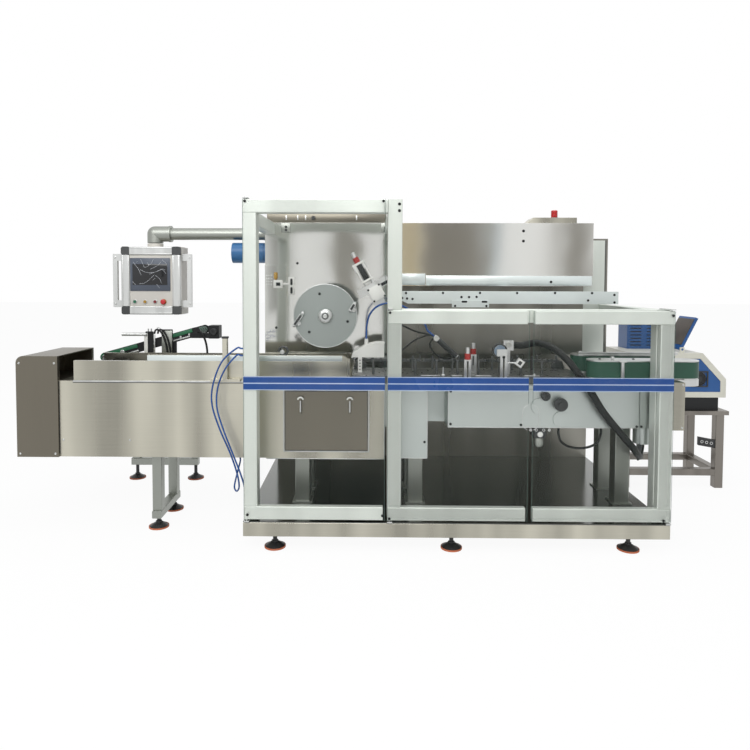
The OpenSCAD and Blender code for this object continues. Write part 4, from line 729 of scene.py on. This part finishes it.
def make_feeder():
    x, y, z = ROTOR
    dome = Piece("feeder_hub_dome", BRIGHT, "carton_rotor")
    dome.turned((x, y - 16, z), FRONT, HUB_DOME, 48).turned((x, y - 32.5, z), FRONT, HUB_NUT, 32).done()
    Piece("feeder_hub_seat", "chain_steel", "carton_rotor").turned((x, y - 30, z), FRONT, HUB_SEAT, 32).done()
    # A chamfer ring of bright metal on the disc's edge, which paints the rim's edge highlight.
    Piece("feeder_disc_rim_highlight", BRIGHT, "carton_rotor").turned(ROTOR, FRONT, DISC_RIM, 96).done()
    screws = Piece("feeder_disc_screws", DARK, "carton_rotor")
    for degrees in (105, -14, 225):
        screws.screw(on_rotor(136, degrees, y), 9)
    screws.done()


make_feeder()


# Screws on the hood, magazine rail, posts and doors

HOOD_Y, HOOD_BAR_Y, RAIL_Y, BRACKET_Y, POST_FRONT_Y, PANE_Y = 720, 707, 500, 490, 52, -6
HOOD_SCREWS = [(1712, 1834), (1712, 1768)]
RAIL_SCREWS = [
    (929, 1428), (1160, 1429), (1391, 1430), (1622, 1430), (1858, 1431), (2088, 1431), (906, 1397), (936, 1394),
    (970, 1391), (1276, 1404), (1323, 1404), (1370, 1405), (2064, 1385), (2227, 1420), (2228, 1373),
]
BRACKET_BOLTS, BRACKET_SLOTS = [(1235, 1349), (1430, 1349)], [(1293, 1375), (1418, 1375)]
POST_SCREWS = [(863, 1926), (863, 1890)]
DOOR_SCREWS = {
    "left_door": [(19, 1935), (26, 205), (774, 1935), (774, 205)], "middle_door": [(812, 1330), (812, 188)],
    "right_door": [(2348, 1318), (2320, 188)],
}
PANE_SCREW = [(0, 7.5), (1, 7.5), (1.8, 6), (2.2, 3), (1.4, 2.4), (1.4, 0)]


def make_frame_screws():
    hood = Piece("hood_screws", DARK).face_screws(HOOD_SCREWS, HOOD_Y, 10)
    hood.screw((1893, HOOD_BAR_Y, 1500), 9).done()
    rail = Piece("rail_screws", DARK).face_screws(RAIL_SCREWS, RAIL_Y, 8)
    for x, z in BRACKET_BOLTS:
        rail.hexagon((x, BRACKET_Y, z), 10, 6, FRONT)
    # Dark plates proud of the bracket stand for its slots: painted shade in the openings.
    for x, z in BRACKET_SLOTS:
        rail.plate(stadium(36, 12), (x, BRACKET_Y + 1, z), RIGHT, UP, 1.4)
    rail.done()
    Piece("post_screws", DARK).face_screws(POST_SCREWS, POST_FRONT_Y, 9).done()
    for door, corners in DOOR_SCREWS.items():
        places = [(x, PANE_Y, z) for x, z in corners]
        turned_piece(door + "_screws", DARK, places, PANE_SCREW, 20, body=door)


make_frame_screws()


# Access panel with its hooks, sheet lips and screws of the bed, screws of the infeed

BEAD_LOW, BEAD_HIGH = (192, 245, 489), (702, 250.5, 864)
SEAM_LOW, SEAM_HIGH = (202, 237.2, 499), (692, 238.4, 854)
HOUSING_Y, BED_PLATE_Y, END_COVER_Y = 250, 142, 235
BED_LIPS = {    # left, right, foot and top of the lips on each face
    HOUSING_Y: [(90, 792, 446, 451), (787, 792, 451, 905)],
    BED_PLATE_Y: [
        (1150, 2238, 665.2, 669.2), (1150, 1154, 669.2, 884), (1030.5, 1034.8, 488.4, 884), (886, 1034.8, 484.2, 488.4),
    ],
}
LIP_PROUD, LIP_SUNK = 1.2, 0.3
PLATE_SCREWS = [
    (1166, 685), (1568, 682), (2226, 676), (2252, 676), (2330, 676), (2330, 874), (1166, 874), (1018, 580),
]
COVER_SCREWS = [(x, z) for x in (-1372, -1162) for z in (472, 1012)]
INFEED_SCREWS = [(-722, 553), (-1120, 553)]


def make_access_panel():
    hooks, caps = Piece("access_hooks", BRIGHT), Piece("access_hook_caps", WHITE)
    for x in (297, 587):
        hooks.box((x - 4, 217, 732), (x + 4, 224, 800), 1)
        caps.pipe(arc((x, 219, 806), 15, 13, 12, range(13)), 5, 14)
    hooks.done()
    caps.done()
    Piece("access_bead", BRIGHT).frame(BEAD_LOW, BEAD_HIGH, 7, 1).done()
    Piece("access_seam", "corner_grey").frame(SEAM_LOW, SEAM_HIGH, 4, 0.2).done()


def make_bed_sheets():
    lips = Piece("bed_sheet_lips", BRIGHT)
    for y, places in BED_LIPS.items():
        for x0, x1, z0, z1 in places:
            lips.box((x0, y - LIP_PROUD, z0), (x1, y + LIP_SUNK, z1), 0.4)
    lips.done()
    Piece("bed_plate_screws", DARK).face_screws(PLATE_SCREWS, BED_PLATE_Y, 8).done()
    covers = Piece("infeed_screws", BRIGHT).face_screws(COVER_SCREWS, END_COVER_Y, 7)
    covers.face_screws(INFEED_SCREWS, HOUSING_Y, 7).done()


make_access_panel()
make_bed_sheets()


# Hot-melt unit: tower louvres, fan, lid lining, power strip

LOUVRE_X, LOUVRE_ROWS, LOUVRE_FOOT, LOUVRE_PITCH = (2722, 2846), 7, 1010, 26
TOWER_Y = 1430
FAN_LOW, FAN_HIGH = (3041, 1126, 740), (3166, 1132, 856)
FAN_RING_Y, FAN_SPOKE_Y, FAN_BACK_Y = 1128.5, 1130, 1138
LID_HINGE, LID_LEAN = (2980, 0, 1012), 26
STRIP_BACK_Y, STRIP_FRONT_Y = 1152, 1126
STRIP_OUTLINE = [(3108, 312), (3236, 290), (3236, 350), (3108, 374)]
SOCKETS = [(3130, STRIP_FRONT_Y, 340), (3164, STRIP_FRONT_Y, 334), (3198, STRIP_FRONT_Y, 328)]
SOCKET_RIM = [(0, 11), (1.5, 11), (2, 10), (2, 7), (0.6, 6.6)]


def make_fan():
    fan = Piece("melter_fan_grille", PLASTIC).frame(FAN_LOW, FAN_HIGH, 10, 1)
    x, z = (FAN_LOW[0] + FAN_HIGH[0]) / 2, (FAN_LOW[2] + FAN_HIGH[2]) / 2
    for radius in (22, 34, 46):
        fan.pipe(arc((x, FAN_RING_Y, z), radius, radius, 16, range(33)), 1.6, 6)
    for degrees in (0, 45, 90, 135):
        middle, reach = Vector((x, FAN_SPOKE_Y, z)), tilted(degrees)[0] * 60
        fan.pipe([middle - reach, middle + reach], 1.4, 6)
    fan.turned((x, FAN_BACK_Y, z), FRONT, [(0, 19), (9, 19), (10, 18), (10, 0)])
    fan.turned((x, FAN_BACK_Y, z), FRONT, [(0, 51.5), (0.8, 51.5), (0.8, 0)], 48).done()


def make_melter():
    louvres = Piece("melter_tower_louvres", DARK)
    for x in LOUVRE_X:
        for row in range(LOUVRE_ROWS):
            place = (x, TOWER_Y, LOUVRE_FOOT + row * LOUVRE_PITCH)
            louvres.plate(rectangle(1, 83, 0.5, 8.5), place, RIGHT, UP, 5.4)
    louvres.done()
    make_fan()
    along, out = tilted(90 - LID_LEAN)
    lining = Piece("lid_lining_pad", LID_LINING, "tank_lid")
    lining.plate(rectangle(30, 238, 1164, 1392), Vector(LID_HINGE) + out * 10, along, BACK, 4, 1.5).done()
    strip = Piece("power_strip", PLASTIC)
    strip.plate(STRIP_OUTLINE, (0, STRIP_BACK_Y, 0), RIGHT, UP, STRIP_BACK_Y - STRIP_FRONT_Y, 2).done()
    turned_piece("power_strip_sockets", BRIGHT, SOCKETS, SOCKET_RIM)


make_melter()


# Clamp levers on the feeder disc, and fittings on the wall behind it

LEVERS = {"left": (186.6, 160, 55.6, 112), "right": (18.8, 172, 58, 70)}    # turn, radius, slope, length
LEVER_Y, DISC_Y = 284, 300
LEVER_PIN = [(0, 8), (3, 8.6), (7, 7.4), (10, 4.5), (11, 0)]
LEVER_BOSS = [(0, 13), (7, 13), (8.5, 11.5), (8.5, 6), (6, 5.4), (6, 0)]
WALL_Y, LUG_Y, SIDE_COVER_Y, STRIP_Y = 720, 712, 708, 724
LUG_SCREWS = [(150, 1858), (802, 1852), (150, 1838), (802, 1832)]
SENSOR_BODY = [(0, 7), (10, 7), (10, 12), (44, 12), (50, 9), (50, 0)]
PIPS = [(x, SIDE_COVER_Y, foot + row * 20) for x in (22, 36, 54) for row in range(4) for foot in (1478, 1112)]


def make_levers():
    for name, (degrees, radius, lean_degrees, length) in LEVERS.items():
        middle = Vector(on_rotor(radius, degrees, LEVER_Y))
        u, v = tilted(lean_degrees)
        handle = middle - u * length * 0.08
        grip = Piece("lever_grip_" + name, PLASTIC, "carton_rotor")
        grip.plate(stadium(length * 0.66, 13), handle, u, v, 6, 1).done()
        metal = Piece("lever_metal_and_highlight_" + name, BRIGHT, "carton_rotor")
        # Bright rails on both sides of the grip: metal strips that paint the grip's edge highlights.
        for side in (-9, 9):
            metal.plate(stadium(length * 0.72, 4), handle + v * side, u, v, 4, 0.6)
        metal.turned(middle - u * (length / 2 - 8), FRONT, LEVER_PIN, 20)
        head = middle + u * (length / 2 - 13)
        metal.box(head - Vector((8, 3, 7)), head + Vector((8, 0, 7)), 1.2)
        boss = middle - u * length * 0.2 - v * 16
        boss.y = DISC_Y
        metal.turned(boss, FRONT, LEVER_BOSS).done()


def make_wall():
    white = Piece("sensor_bracket", WHITE)
    white.box((69, 690, 1455), (129, SIDE_COVER_Y, 1508), 2)
    white.box((164, LUG_Y, 1409), (206, WALL_Y, 1528), 2)
    white.box((120, 702, 1476), (168, 713, 1490), 1).done()
    # Dark plates on the bracket's front and on the lugs stand for slots: painted shade in the openings.
    dark = Piece("sensor_bracket_slots", DARK)
    dark.box((86, 689, 1470), (114, 690.4, 1492), 0.4)
    for z in (1440, 1496):
        dark.plate(stadium(44, 15), (185, LUG_Y + 0.4, z), UP, LEFT, 1.2)
        dark.screw((185, LUG_Y - 0.6, z - 8), 8)
    dark.screw((224, WALL_Y, 1619), 9).screw((84, SIDE_COVER_Y, 1193), 9)
    dark.face_screws(LUG_SCREWS, LUG_Y, 9).done()
    lugs = Piece("wall_lugs", "pale_steel")
    for x in (116, 776):
        lugs.box((x, LUG_Y, 1822), (x + 62, WALL_Y, 1884), 2)
    lugs.done()
    Piece("wall_top_strip", "cover_steel").box((22, STRIP_Y, 1885), (812, 752, 1944), 2).done()
    clips = Piece("wall_strip_clips", BRIGHT)
    for x in (146, 222, 274, 610):
        clips.box((x, STRIP_Y - 3, 1904), (x + 9, STRIP_Y + 0.5, 1934), 1)
    clips.done()
    turned_piece("wall_strip_knob", PLASTIC, [(330, STRIP_Y, 1918)], [(0, 13), (8, 14), (14, 12), (15, 0)])
    turned_piece("wall_sensor", AMBER_CAP, [(82, 699, 1508)], SENSOR_BODY, direction=UP)
    turned_piece("side_cover_louvres", BRIGHT, PIPS, [(0, 4), (1.2, 3.6), (2.2, 2), (2.4, 0)], 12)


make_levers()
make_wall()


# Adjuster beside the disc: square plate and its screws, clamp frame with a dark pad, rings of the knob

ADJUSTER, ADJUSTER_TILT = (735, 1420), 29
SQUARE_Y, CLAMP_Y, SLOT_Y, KNOB_Y = 338, 350, 352, 370
SQUARE_SCREWS = [(-24, -32), (48, -32), (-24, 44), (48, 44)]


def make_adjuster():
    u, v, local = slope(ADJUSTER, ADJUSTER_TILT)
    square, clamp, slot = local(0, 0, SQUARE_Y), local(0, 0, CLAMP_Y), local(0, 0, SLOT_Y)
    dark = Piece("adjuster_spindle", DARK)
    dark.plate(rectangle(-17, 17, 104, 208), clamp, u, v, 3, 0.6)
    for a, b in SQUARE_SCREWS:
        dark.screw(local(a, b, SQUARE_Y - 3), 7)
    # A dark plate for the slot: painted shade in the opening.
    dark.plate(rectangle(60, 108, 26, 44), slot, u, v, 1.5, 0.4).done()
    white = Piece("adjuster_plates", WHITE)
    white.plate(rectangle(-29, 53, -37, 49), square, u, v, 3, 1)
    for b in (100, 212):
        white.plate(rectangle(-36, 36, b - 6, b + 6), clamp, u, v, 6, 1)
    for a in (-28, 28):
        white.plate(rectangle(a - 4, a + 4, 106, 206), clamp, u, v, 6, 1)
    white.done()
    rings = [local(0, b, KNOB_Y) for b in (258, 268, 278)]
    turned_piece("adjuster_knob_rings", BRIGHT, rings, [(0, 12), (1, 12.8), (5, 12.8), (6, 12)], direction=v)


make_adjuster()


# Bed: press wheel, sensor, guide arm sleeve, knobs, strips, bolts and leads

PRESS_WHEEL = (1450, 171, 1103)
WHEEL_FACE = [(-1, 33), (1.5, 33), (2.5, 31), (2.5, 12), (4, 11), (4, 0)]
WHEEL_TYRE = [(-24, 41.4), (-24, 42.6), (0, 42.6), (2, 41), (2, 34), (0, 33.4)]
SENSOR_AT, SENSOR_TURN, SENSOR_RISE = (1562, 159, 1035), 35, 2
SLEEVE_REACH = 34
SLEEVE = [(0, 14.9), (0, 16), (3, 17), (145, 17), (148, 16), (148, 14.9)]
CLAMP_KNOBS_AT = [(1108, 386, 1155), (1531, 310, 1126)]
CLAMP_KNOB = [(-4, 17), (6, 17), (8, 15.5), (8, 9), (5, 8), (5, 0)]
TRACK_TOP, TRACK_Y = 951, (206, 224)
TRACK_STRIPS = [(1000, 1112), (1180, 1240), (1320, 1410), (1600, 1690)]
TRACK_POST = [(0, 13), (8, 13), (10, 11), (10, 5), (50, 4), (52, 0)]
TRACK_NUT = [(5, 9), (14, 9), (15, 8), (15, 0)]
UNIT_Y = 160
UNIT_SCREWS, UNIT_TOP_SCREWS = [(1264, 935), (1470, 935), (1470, 1068)], [(1445, 178, 915), (1497, 178, 915)]
BAY_LEADS = [
    [(866, 122, 1262), (900, 240, 1240), (981, 370, 1198), (1051, 397, 1180), (1098, 400, 1166)],
    [(866, 122, 1095), (920, 255, 1120), (985, 365, 1150), (1060, 397, 1174), (1098, 402, 1168)],
    [(1098, 404, 1162), (1072, 410, 1115), (1100, 410, 1060), (1170, 407, 1028), (1228, 402, 1044)],
]
PLATE_KNOB = [(0, 26), (12, 27), (16, 25), (16, 12), (14, 11), (14, 0)]


def make_bed():
    turned_piece("press_wheel_face", WHEEL_BLUE, [PRESS_WHEEL], WHEEL_FACE, 40)
    turned_piece("press_wheel_tyre", PLASTIC, [PRESS_WHEEL], WHEEL_TYRE, 48)
    u, v = tilted(-SENSOR_TURN)
    front = Vector(SENSOR_AT) + Vector(FRONT) * SENSOR_RISE
    face = Piece("sensor_face", WHITE)
    face.plate(rectangle(-18, 18, -18, 18), SENSOR_AT, u, v, SENSOR_RISE, 0.6).done()
    window = Piece("sensor_window", PLASTIC)
    window.plate(rectangle(-10, 10, -11, 11), front, u, v, 0.8, 0.2).done()
    sleeve_from = ARM_TOP + ARM_ALONG * SLEEVE_REACH
    turned_piece("guide_arm_sleeve", PLASTIC, [sleeve_from], SLEEVE, 28, ARM_ALONG)
    turned_piece("clamp_knobs", WHITE, CLAMP_KNOBS_AT, CLAMP_KNOB, 28)
    strips = Piece("track_strips", BRIGHT)
    for x0, x1 in TRACK_STRIPS:
        strips.box((x0, TRACK_Y[0], TRACK_TOP), (x1, TRACK_Y[1], TRACK_TOP + 5), 1)
    middle = sum(TRACK_Y) / 2
    strips.turned((1130, middle, TRACK_TOP), UP, TRACK_POST)
    strips.turned((1660, middle, TRACK_TOP), UP, TRACK_NUT, 20).done()
    bolts = Piece("unit_bolts", DARK).face_screws(UNIT_SCREWS, UNIT_Y, 9)
    for place in UNIT_TOP_SCREWS:
        bolts.screw(place, 7, UP)
    bolts.done()
    leads = Piece("bay_leads", "hose_black")
    for line in BAY_LEADS:
        leads.pipe(smooth_line(line), 5, 14)
    leads.done()
    turned_piece("plate_knob", PLASTIC, [(1703, 136, 850)], PLATE_KNOB, 32)


# Air unit under the bed, and the lead of the motor beside it

DECK_UNDER = 665
AIR_BOWL = [(0, 25), (4, 27), (40, 27), (52, 22), (58, 10), (58, 0)]
AIR_FITTING = [(-8, 7), (10, 7), (10, 9), (20, 9), (21, 8), (21, 5), (15, 4.5), (15, 0)]
DIAL_AT = (1685, 172, 622)
DIAL_RIM, DIAL_FACE = [(0, 17), (8, 17), (9, 16), (9, 14), (7, 13.5)], [(0, 13.8), (7.2, 13.8), (7.6, 12), (7.6, 0)]
MOTOR_LEAD = [
    (2300, 218, 568), (2300, 218, 552), (2298, 217, 530), (2290, 214, 500), (2276, 210, 478), (2262, 205, 466),
]


def make_air_unit():
    body = Piece("air_unit_body", PLASTIC).box((1652, 172, 596), (1718, 232, DECK_UNDER), 5)
    body.box((1640, 190, 612), (1730, 214, 640), 3).done()
    turned_piece("air_unit_bowl", "pale_steel", [(1685, 202, 598)], AIR_BOWL, 28, DOWN)
    fittings = Piece("air_unit_fittings", BRIGHT)
    for x in (1632, 1664, 1706, 1738):
        fittings.turned((x, 190, 646), FRONT, AIR_FITTING, 16)
        fittings.box((x - 7, 182, 640), (x + 7, 202, DECK_UNDER), 1)
    fittings.turned(DIAL_AT, FRONT, DIAL_RIM, 28).done()
    turned_piece("air_unit_dial", WHITE, [DIAL_AT], DIAL_FACE, 28)
    Piece("bed_motor_lead", "hose_black").pipe(smooth_line(MOTOR_LEAD, LEAD_STEPS), 6, 10).done()


make_bed()
make_air_unit()


# The panes' edges and the rim of the finger hole between two of them

FINGER_X, FINGER_Z, FINGER_W, FINGER_H = 1583, 757, 86, 140
PANE_FOOT, EDGE_W, EDGE_Y, EDGE_GAP = 176, 2, (-6.4, -5.9), 76
RIM_Y, RIM_R, RIM_STEPS, RIM_CLEAR = -6.6, 1.5, 24, 13


def make_pane_edges():
    for door, (left, right, top) in PANES.items():
        edges = Piece(door + "_pane_edges", EDGE_GREEN, door)
        for x in (left, right - EDGE_W):
            runs = [(PANE_FOOT, top)]
            if abs(x - FINGER_X) < FINGER_W / 2:
                runs = [(PANE_FOOT, FINGER_Z - EDGE_GAP), (FINGER_Z + EDGE_GAP, top)]
            for z0, z1 in runs:
                edges.box((x, EDGE_Y[0], z0), (x + EDGE_W, EDGE_Y[1], z1))
        edges.done()


def make_finger_rim():
    reach, straight = FINGER_W / 2 + RIM_R, (FINGER_H - FINGER_W) / 2
    for door, side in (("middle_door", -1), ("right_door", 1)):
        points = []
        for k in range(RIM_STEPS + 1):
            turn = math.pi * (k / RIM_STEPS - 0.5)
            x = FINGER_X + side * reach * math.cos(turn)
            z = FINGER_Z + math.copysign(straight, math.sin(turn)) + reach * math.sin(turn)
            if abs(x - FINGER_X) > RIM_CLEAR:
                points.append((x, RIM_Y, z))
        Piece(door + "_finger_rim", BRIGHT, door).pipe(points, RIM_R, 8).done()


make_pane_edges()
make_finger_rim()


# Discharge, side box and beacon

BELT_TOP = 1052
KNOBS_AT = [(2096, 180, BELT_TOP), (2010, 470, BELT_TOP)]
DISCHARGE_KNOB = [(0, 9), (3, 9), (3, 5), (10, 5), (10, 11), (18, 11), (19, 10), (19, 0)]
SIDE_BOX_Y, SOCKET_Y = 56, 53.5
SIDE_BOX_SCREWS = [(2440, 690), (2440, 930), (2374, 690), (2374, 930)]
BEACON_AT = (1950, 850, 1928)
LENS_FOOT, LENS_TOP = [(0, 0), (0, 22.6), (3, 22.6)], [(51, 22), (54, 19.5), (55.8, 14), (56, 0)]
LENS_RIB, LENS_RIBS, LENS_PITCH = [(8, 22.4), (10, 20.6), (12, 20.6), (13, 22.4)], 6, 7


def make_discharge():
    screws = Piece("discharge_screws", DARK)
    for x in (2036, 2230, 2420):
        for y in (215, 500):
            screws.screw((x, y, BELT_TOP), 9, UP)
    screws.done()
    turned_piece("discharge_knobs", BRIGHT, KNOBS_AT, DISCHARGE_KNOB, 20, UP)
    Piece("side_box_socket", PLASTIC).box((2366, SOCKET_Y, 792), (2386, SIDE_BOX_Y, 908), 0.8).done()
    plugs = Piece("side_box_plugs", WHITE)
    for z in (866, 888):
        plugs.box((2369, 50, z), (2383, SOCKET_Y + 0.1, z + 14), 1)
    plugs.done()
    Piece("side_box_cover", "corner_grey").box((2368, 51, 800), (2384, SOCKET_Y + 0.1, 852), 1).done()
    Piece("side_box_screws", BRIGHT).face_screws(SIDE_BOX_SCREWS, SIDE_BOX_Y, 6).done()


def make_beacon():
    ribs = [(rise + k * LENS_PITCH, radius) for k in range(LENS_RIBS) for rise, radius in LENS_RIB]
    lens = turned_piece("beacon_lens", "beacon_red", [BEACON_AT], LENS_FOOT + ribs + LENS_TOP, 40, UP)
    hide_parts("beacon_lamp")
    turned_piece("beacon_ring", PLASTIC, [BEACON_AT], [(0, 27), (5, 27), (7, 25), (7, 22.8)], 40, UP)
    bolts = Piece("beacon_bolts", BRIGHT)
    for x in (1830, 2050):
        bolts.hexagon((x, BEACON_AT[1], BEACON_AT[2]), 13, 7, UP)
    bolts.done()


make_discharge()
make_beacon()


# Hood: the pale face of its bottom bar and the cover plate's bluish sheet; rear cabinet: a thin sheet at its end whose
# pale colour is a painted light reflection

CABINET_Y, CABINET_Z = 920, (1012, 1786)


def make_hood_bar():
    bar, sheet = Piece("hood_bar_face", "aluminium_rail"), Piece("hood_cover_sheet", "aluminium_rail")
    bar.box((1072, HOOD_BAR_Y, 1475), (2160, HOOD_BAR_Y + 1.3, 1539), 0.4).done()
    sheet.box((890, 702.8, 1476), (1068, 704.3, 1552), 0.4).done()
    # A thin sheet on the rear cabinet's end, right of the hood: its pale colour paints reflected light on the cabinet's
    # front.
    end, seam = Piece("cabinet_end_painted_light", "guard_tube"), Piece("cabinet_end_seam", "corner_grey")
    low, high = CABINET_Z
    end.box((2178, CABINET_Y - 1.5, low), (2322, CABINET_Y + 0.3, high), 0.4).done()
    seam.box((2324, CABINET_Y - 0.8, low), (2330, CABINET_Y + 0.3, high), 0.2).done()


make_hood_bar()


# Infeed: rail knob, seam lip, rail face, post cap

INFEED_SEAM_X, SHADOW_Y = (-1059, 90), (249.2, 250.5)
GUIDE_POST_X, GUIDE_POST_Y, CAP_REACH = (-162.5, -132.5), (224, 254), 3


def make_infeed():
    knob = Piece("rail_knob", PLASTIC).box((168, 264, 1061), (212, 284, 1068), 1.5)
    knob.pipe(arc((190, 274, 1088), 26, 22, 12, range(-5, 14)), 8, 12).done()
    turned_piece("rail_knob_core", BRIGHT, [(184, 284, 1080)], [(0, 15), (16, 15), (20, 12), (21, 0)], 28)
    left, right = INFEED_SEAM_X
    Piece("infeed_seam_lip", BRIGHT).box((left, 248.6, 900), (right, 262, 909), 0.6).done()
    seam = Piece("infeed_seam_shadow", "corner_grey")
    seam.box((left, SHADOW_Y[0], 895), (right, SHADOW_Y[1], 899.4), 0.2)
    seam.box((-1143, SHADOW_Y[0], 470), (-1139, SHADOW_Y[1], 905), 0.2).done()
    Piece("infeed_rail_face", "aluminium_rail").box((-618, 261, 1027), (540, 262.4, 1059), 0.4).done()
    low = (GUIDE_POST_X[0] - CAP_REACH, GUIDE_POST_Y[0] - CAP_REACH, 1163)
    high = (GUIDE_POST_X[1] + CAP_REACH, GUIDE_POST_Y[1] + CAP_REACH, 1175)
    Piece("infeed_post_cap", PLASTIC).box(low, high, 1.5).done()


make_infeed()


# Leaflet feeder: belt edges on the slope, rollers, head plates, bar and cables on its front cheek

SLOPE_AT, SLOPE_TILT, CHEEK_Y, HEAD_Y, EYE_Y = (-1103, 957), 15.6, 760, 750, 756
BELT_WHEEL = [(0, 27), (9, 27), (10, 26), (10, 15)]
ROLLER = [(0, 15), (14, 15), (16, 13), (16, 6), (13, 5), (13, 0)]
PAIR_CABLE = [
    (-740, 746, 1148), (-728, 736, 1172), (-700, 731, 1168), (-672, 731, 1120), (-654, 731, 1050), (-650, 734, 1006),
]
SENSOR_CABLE = [(-452, 752, 1158), (-430, 744, 1158), (-404, 742, 1120), (-388, 742, 1060), (-384, 748, 985)]
SENSOR_HEAD = [(-4, 24), (10, 24), (14, 20), (14, 10), (8, 9), (8, 0)]


def make_leaflet():
    u, v, local = slope(SLOPE_AT, SLOPE_TILT)
    cheek = local(0, 0, CHEEK_Y)
    edges = Piece("leaflet_belt_edges", BELT_EDGE)
    for a0, a1 in ((14, 262), (470, 648)):
        edges.plate(rectangle(a0, a1, 26, 50), cheek, u, v, 5, 1.5)
    edges.turned(local(26, 23, CHEEK_Y), FRONT, BELT_WHEEL, 32).done()
    rails = Piece("leaflet_rails", BRIGHT)
    for a0, a1 in ((40, 262), (440, 670)):
        rails.plate(rectangle(a0, a1, 0, 9), cheek, u, v, 6, 1)
    for a in (26, 92, 156):
        rails.turned(local(a, 23, CHEEK_Y), FRONT, ROLLER)
    for a in (500, 560, 620):
        rails.screw(local(a, 17, CHEEK_Y), 8)
    rails.rod((-958, 741, 1142), (-788, 741, 1142), 11, 2)
    rails.box((-746, 744, 1000), (-736, HEAD_Y + 1, 1158), 1.5).done()
    Piece("leaflet_plate", WHITE).box((-810, 742, 962), (-786, HEAD_Y + 0.5, 1152), 2).done()
    Piece("leaflet_block", "pale_steel").box((-690, 738, 1001), (-620, HEAD_Y + 0.5, 1168), 4).done()
    cables = Piece("leaflet_cables", "hose_black")
    for shift in (0, 22):
        cables.pipe(smooth_line([(x + shift, y, z) for x, y, z in PAIR_CABLE]), 6, 12)
    cables.pipe(smooth_line(SENSOR_CABLE), 7, 12).done()
    eye = Piece("leaflet_eye_bolt", BRIGHT).pipe(arc((-716, EYE_Y, 1176), 11, 11, 10, range(21)), 3, 10)
    for x in (-785, -765):
        eye.rod((x, EYE_Y, 1160), (x, EYE_Y, 1180), 5, 0.6)
    eye.done()
    turned_piece("leaflet_sensor", PLASTIC, [(-343, 752, 1160)], SENSOR_HEAD, 28)


make_leaflet()


bpy.context.scene.view_settings.view_transform = "Standard"
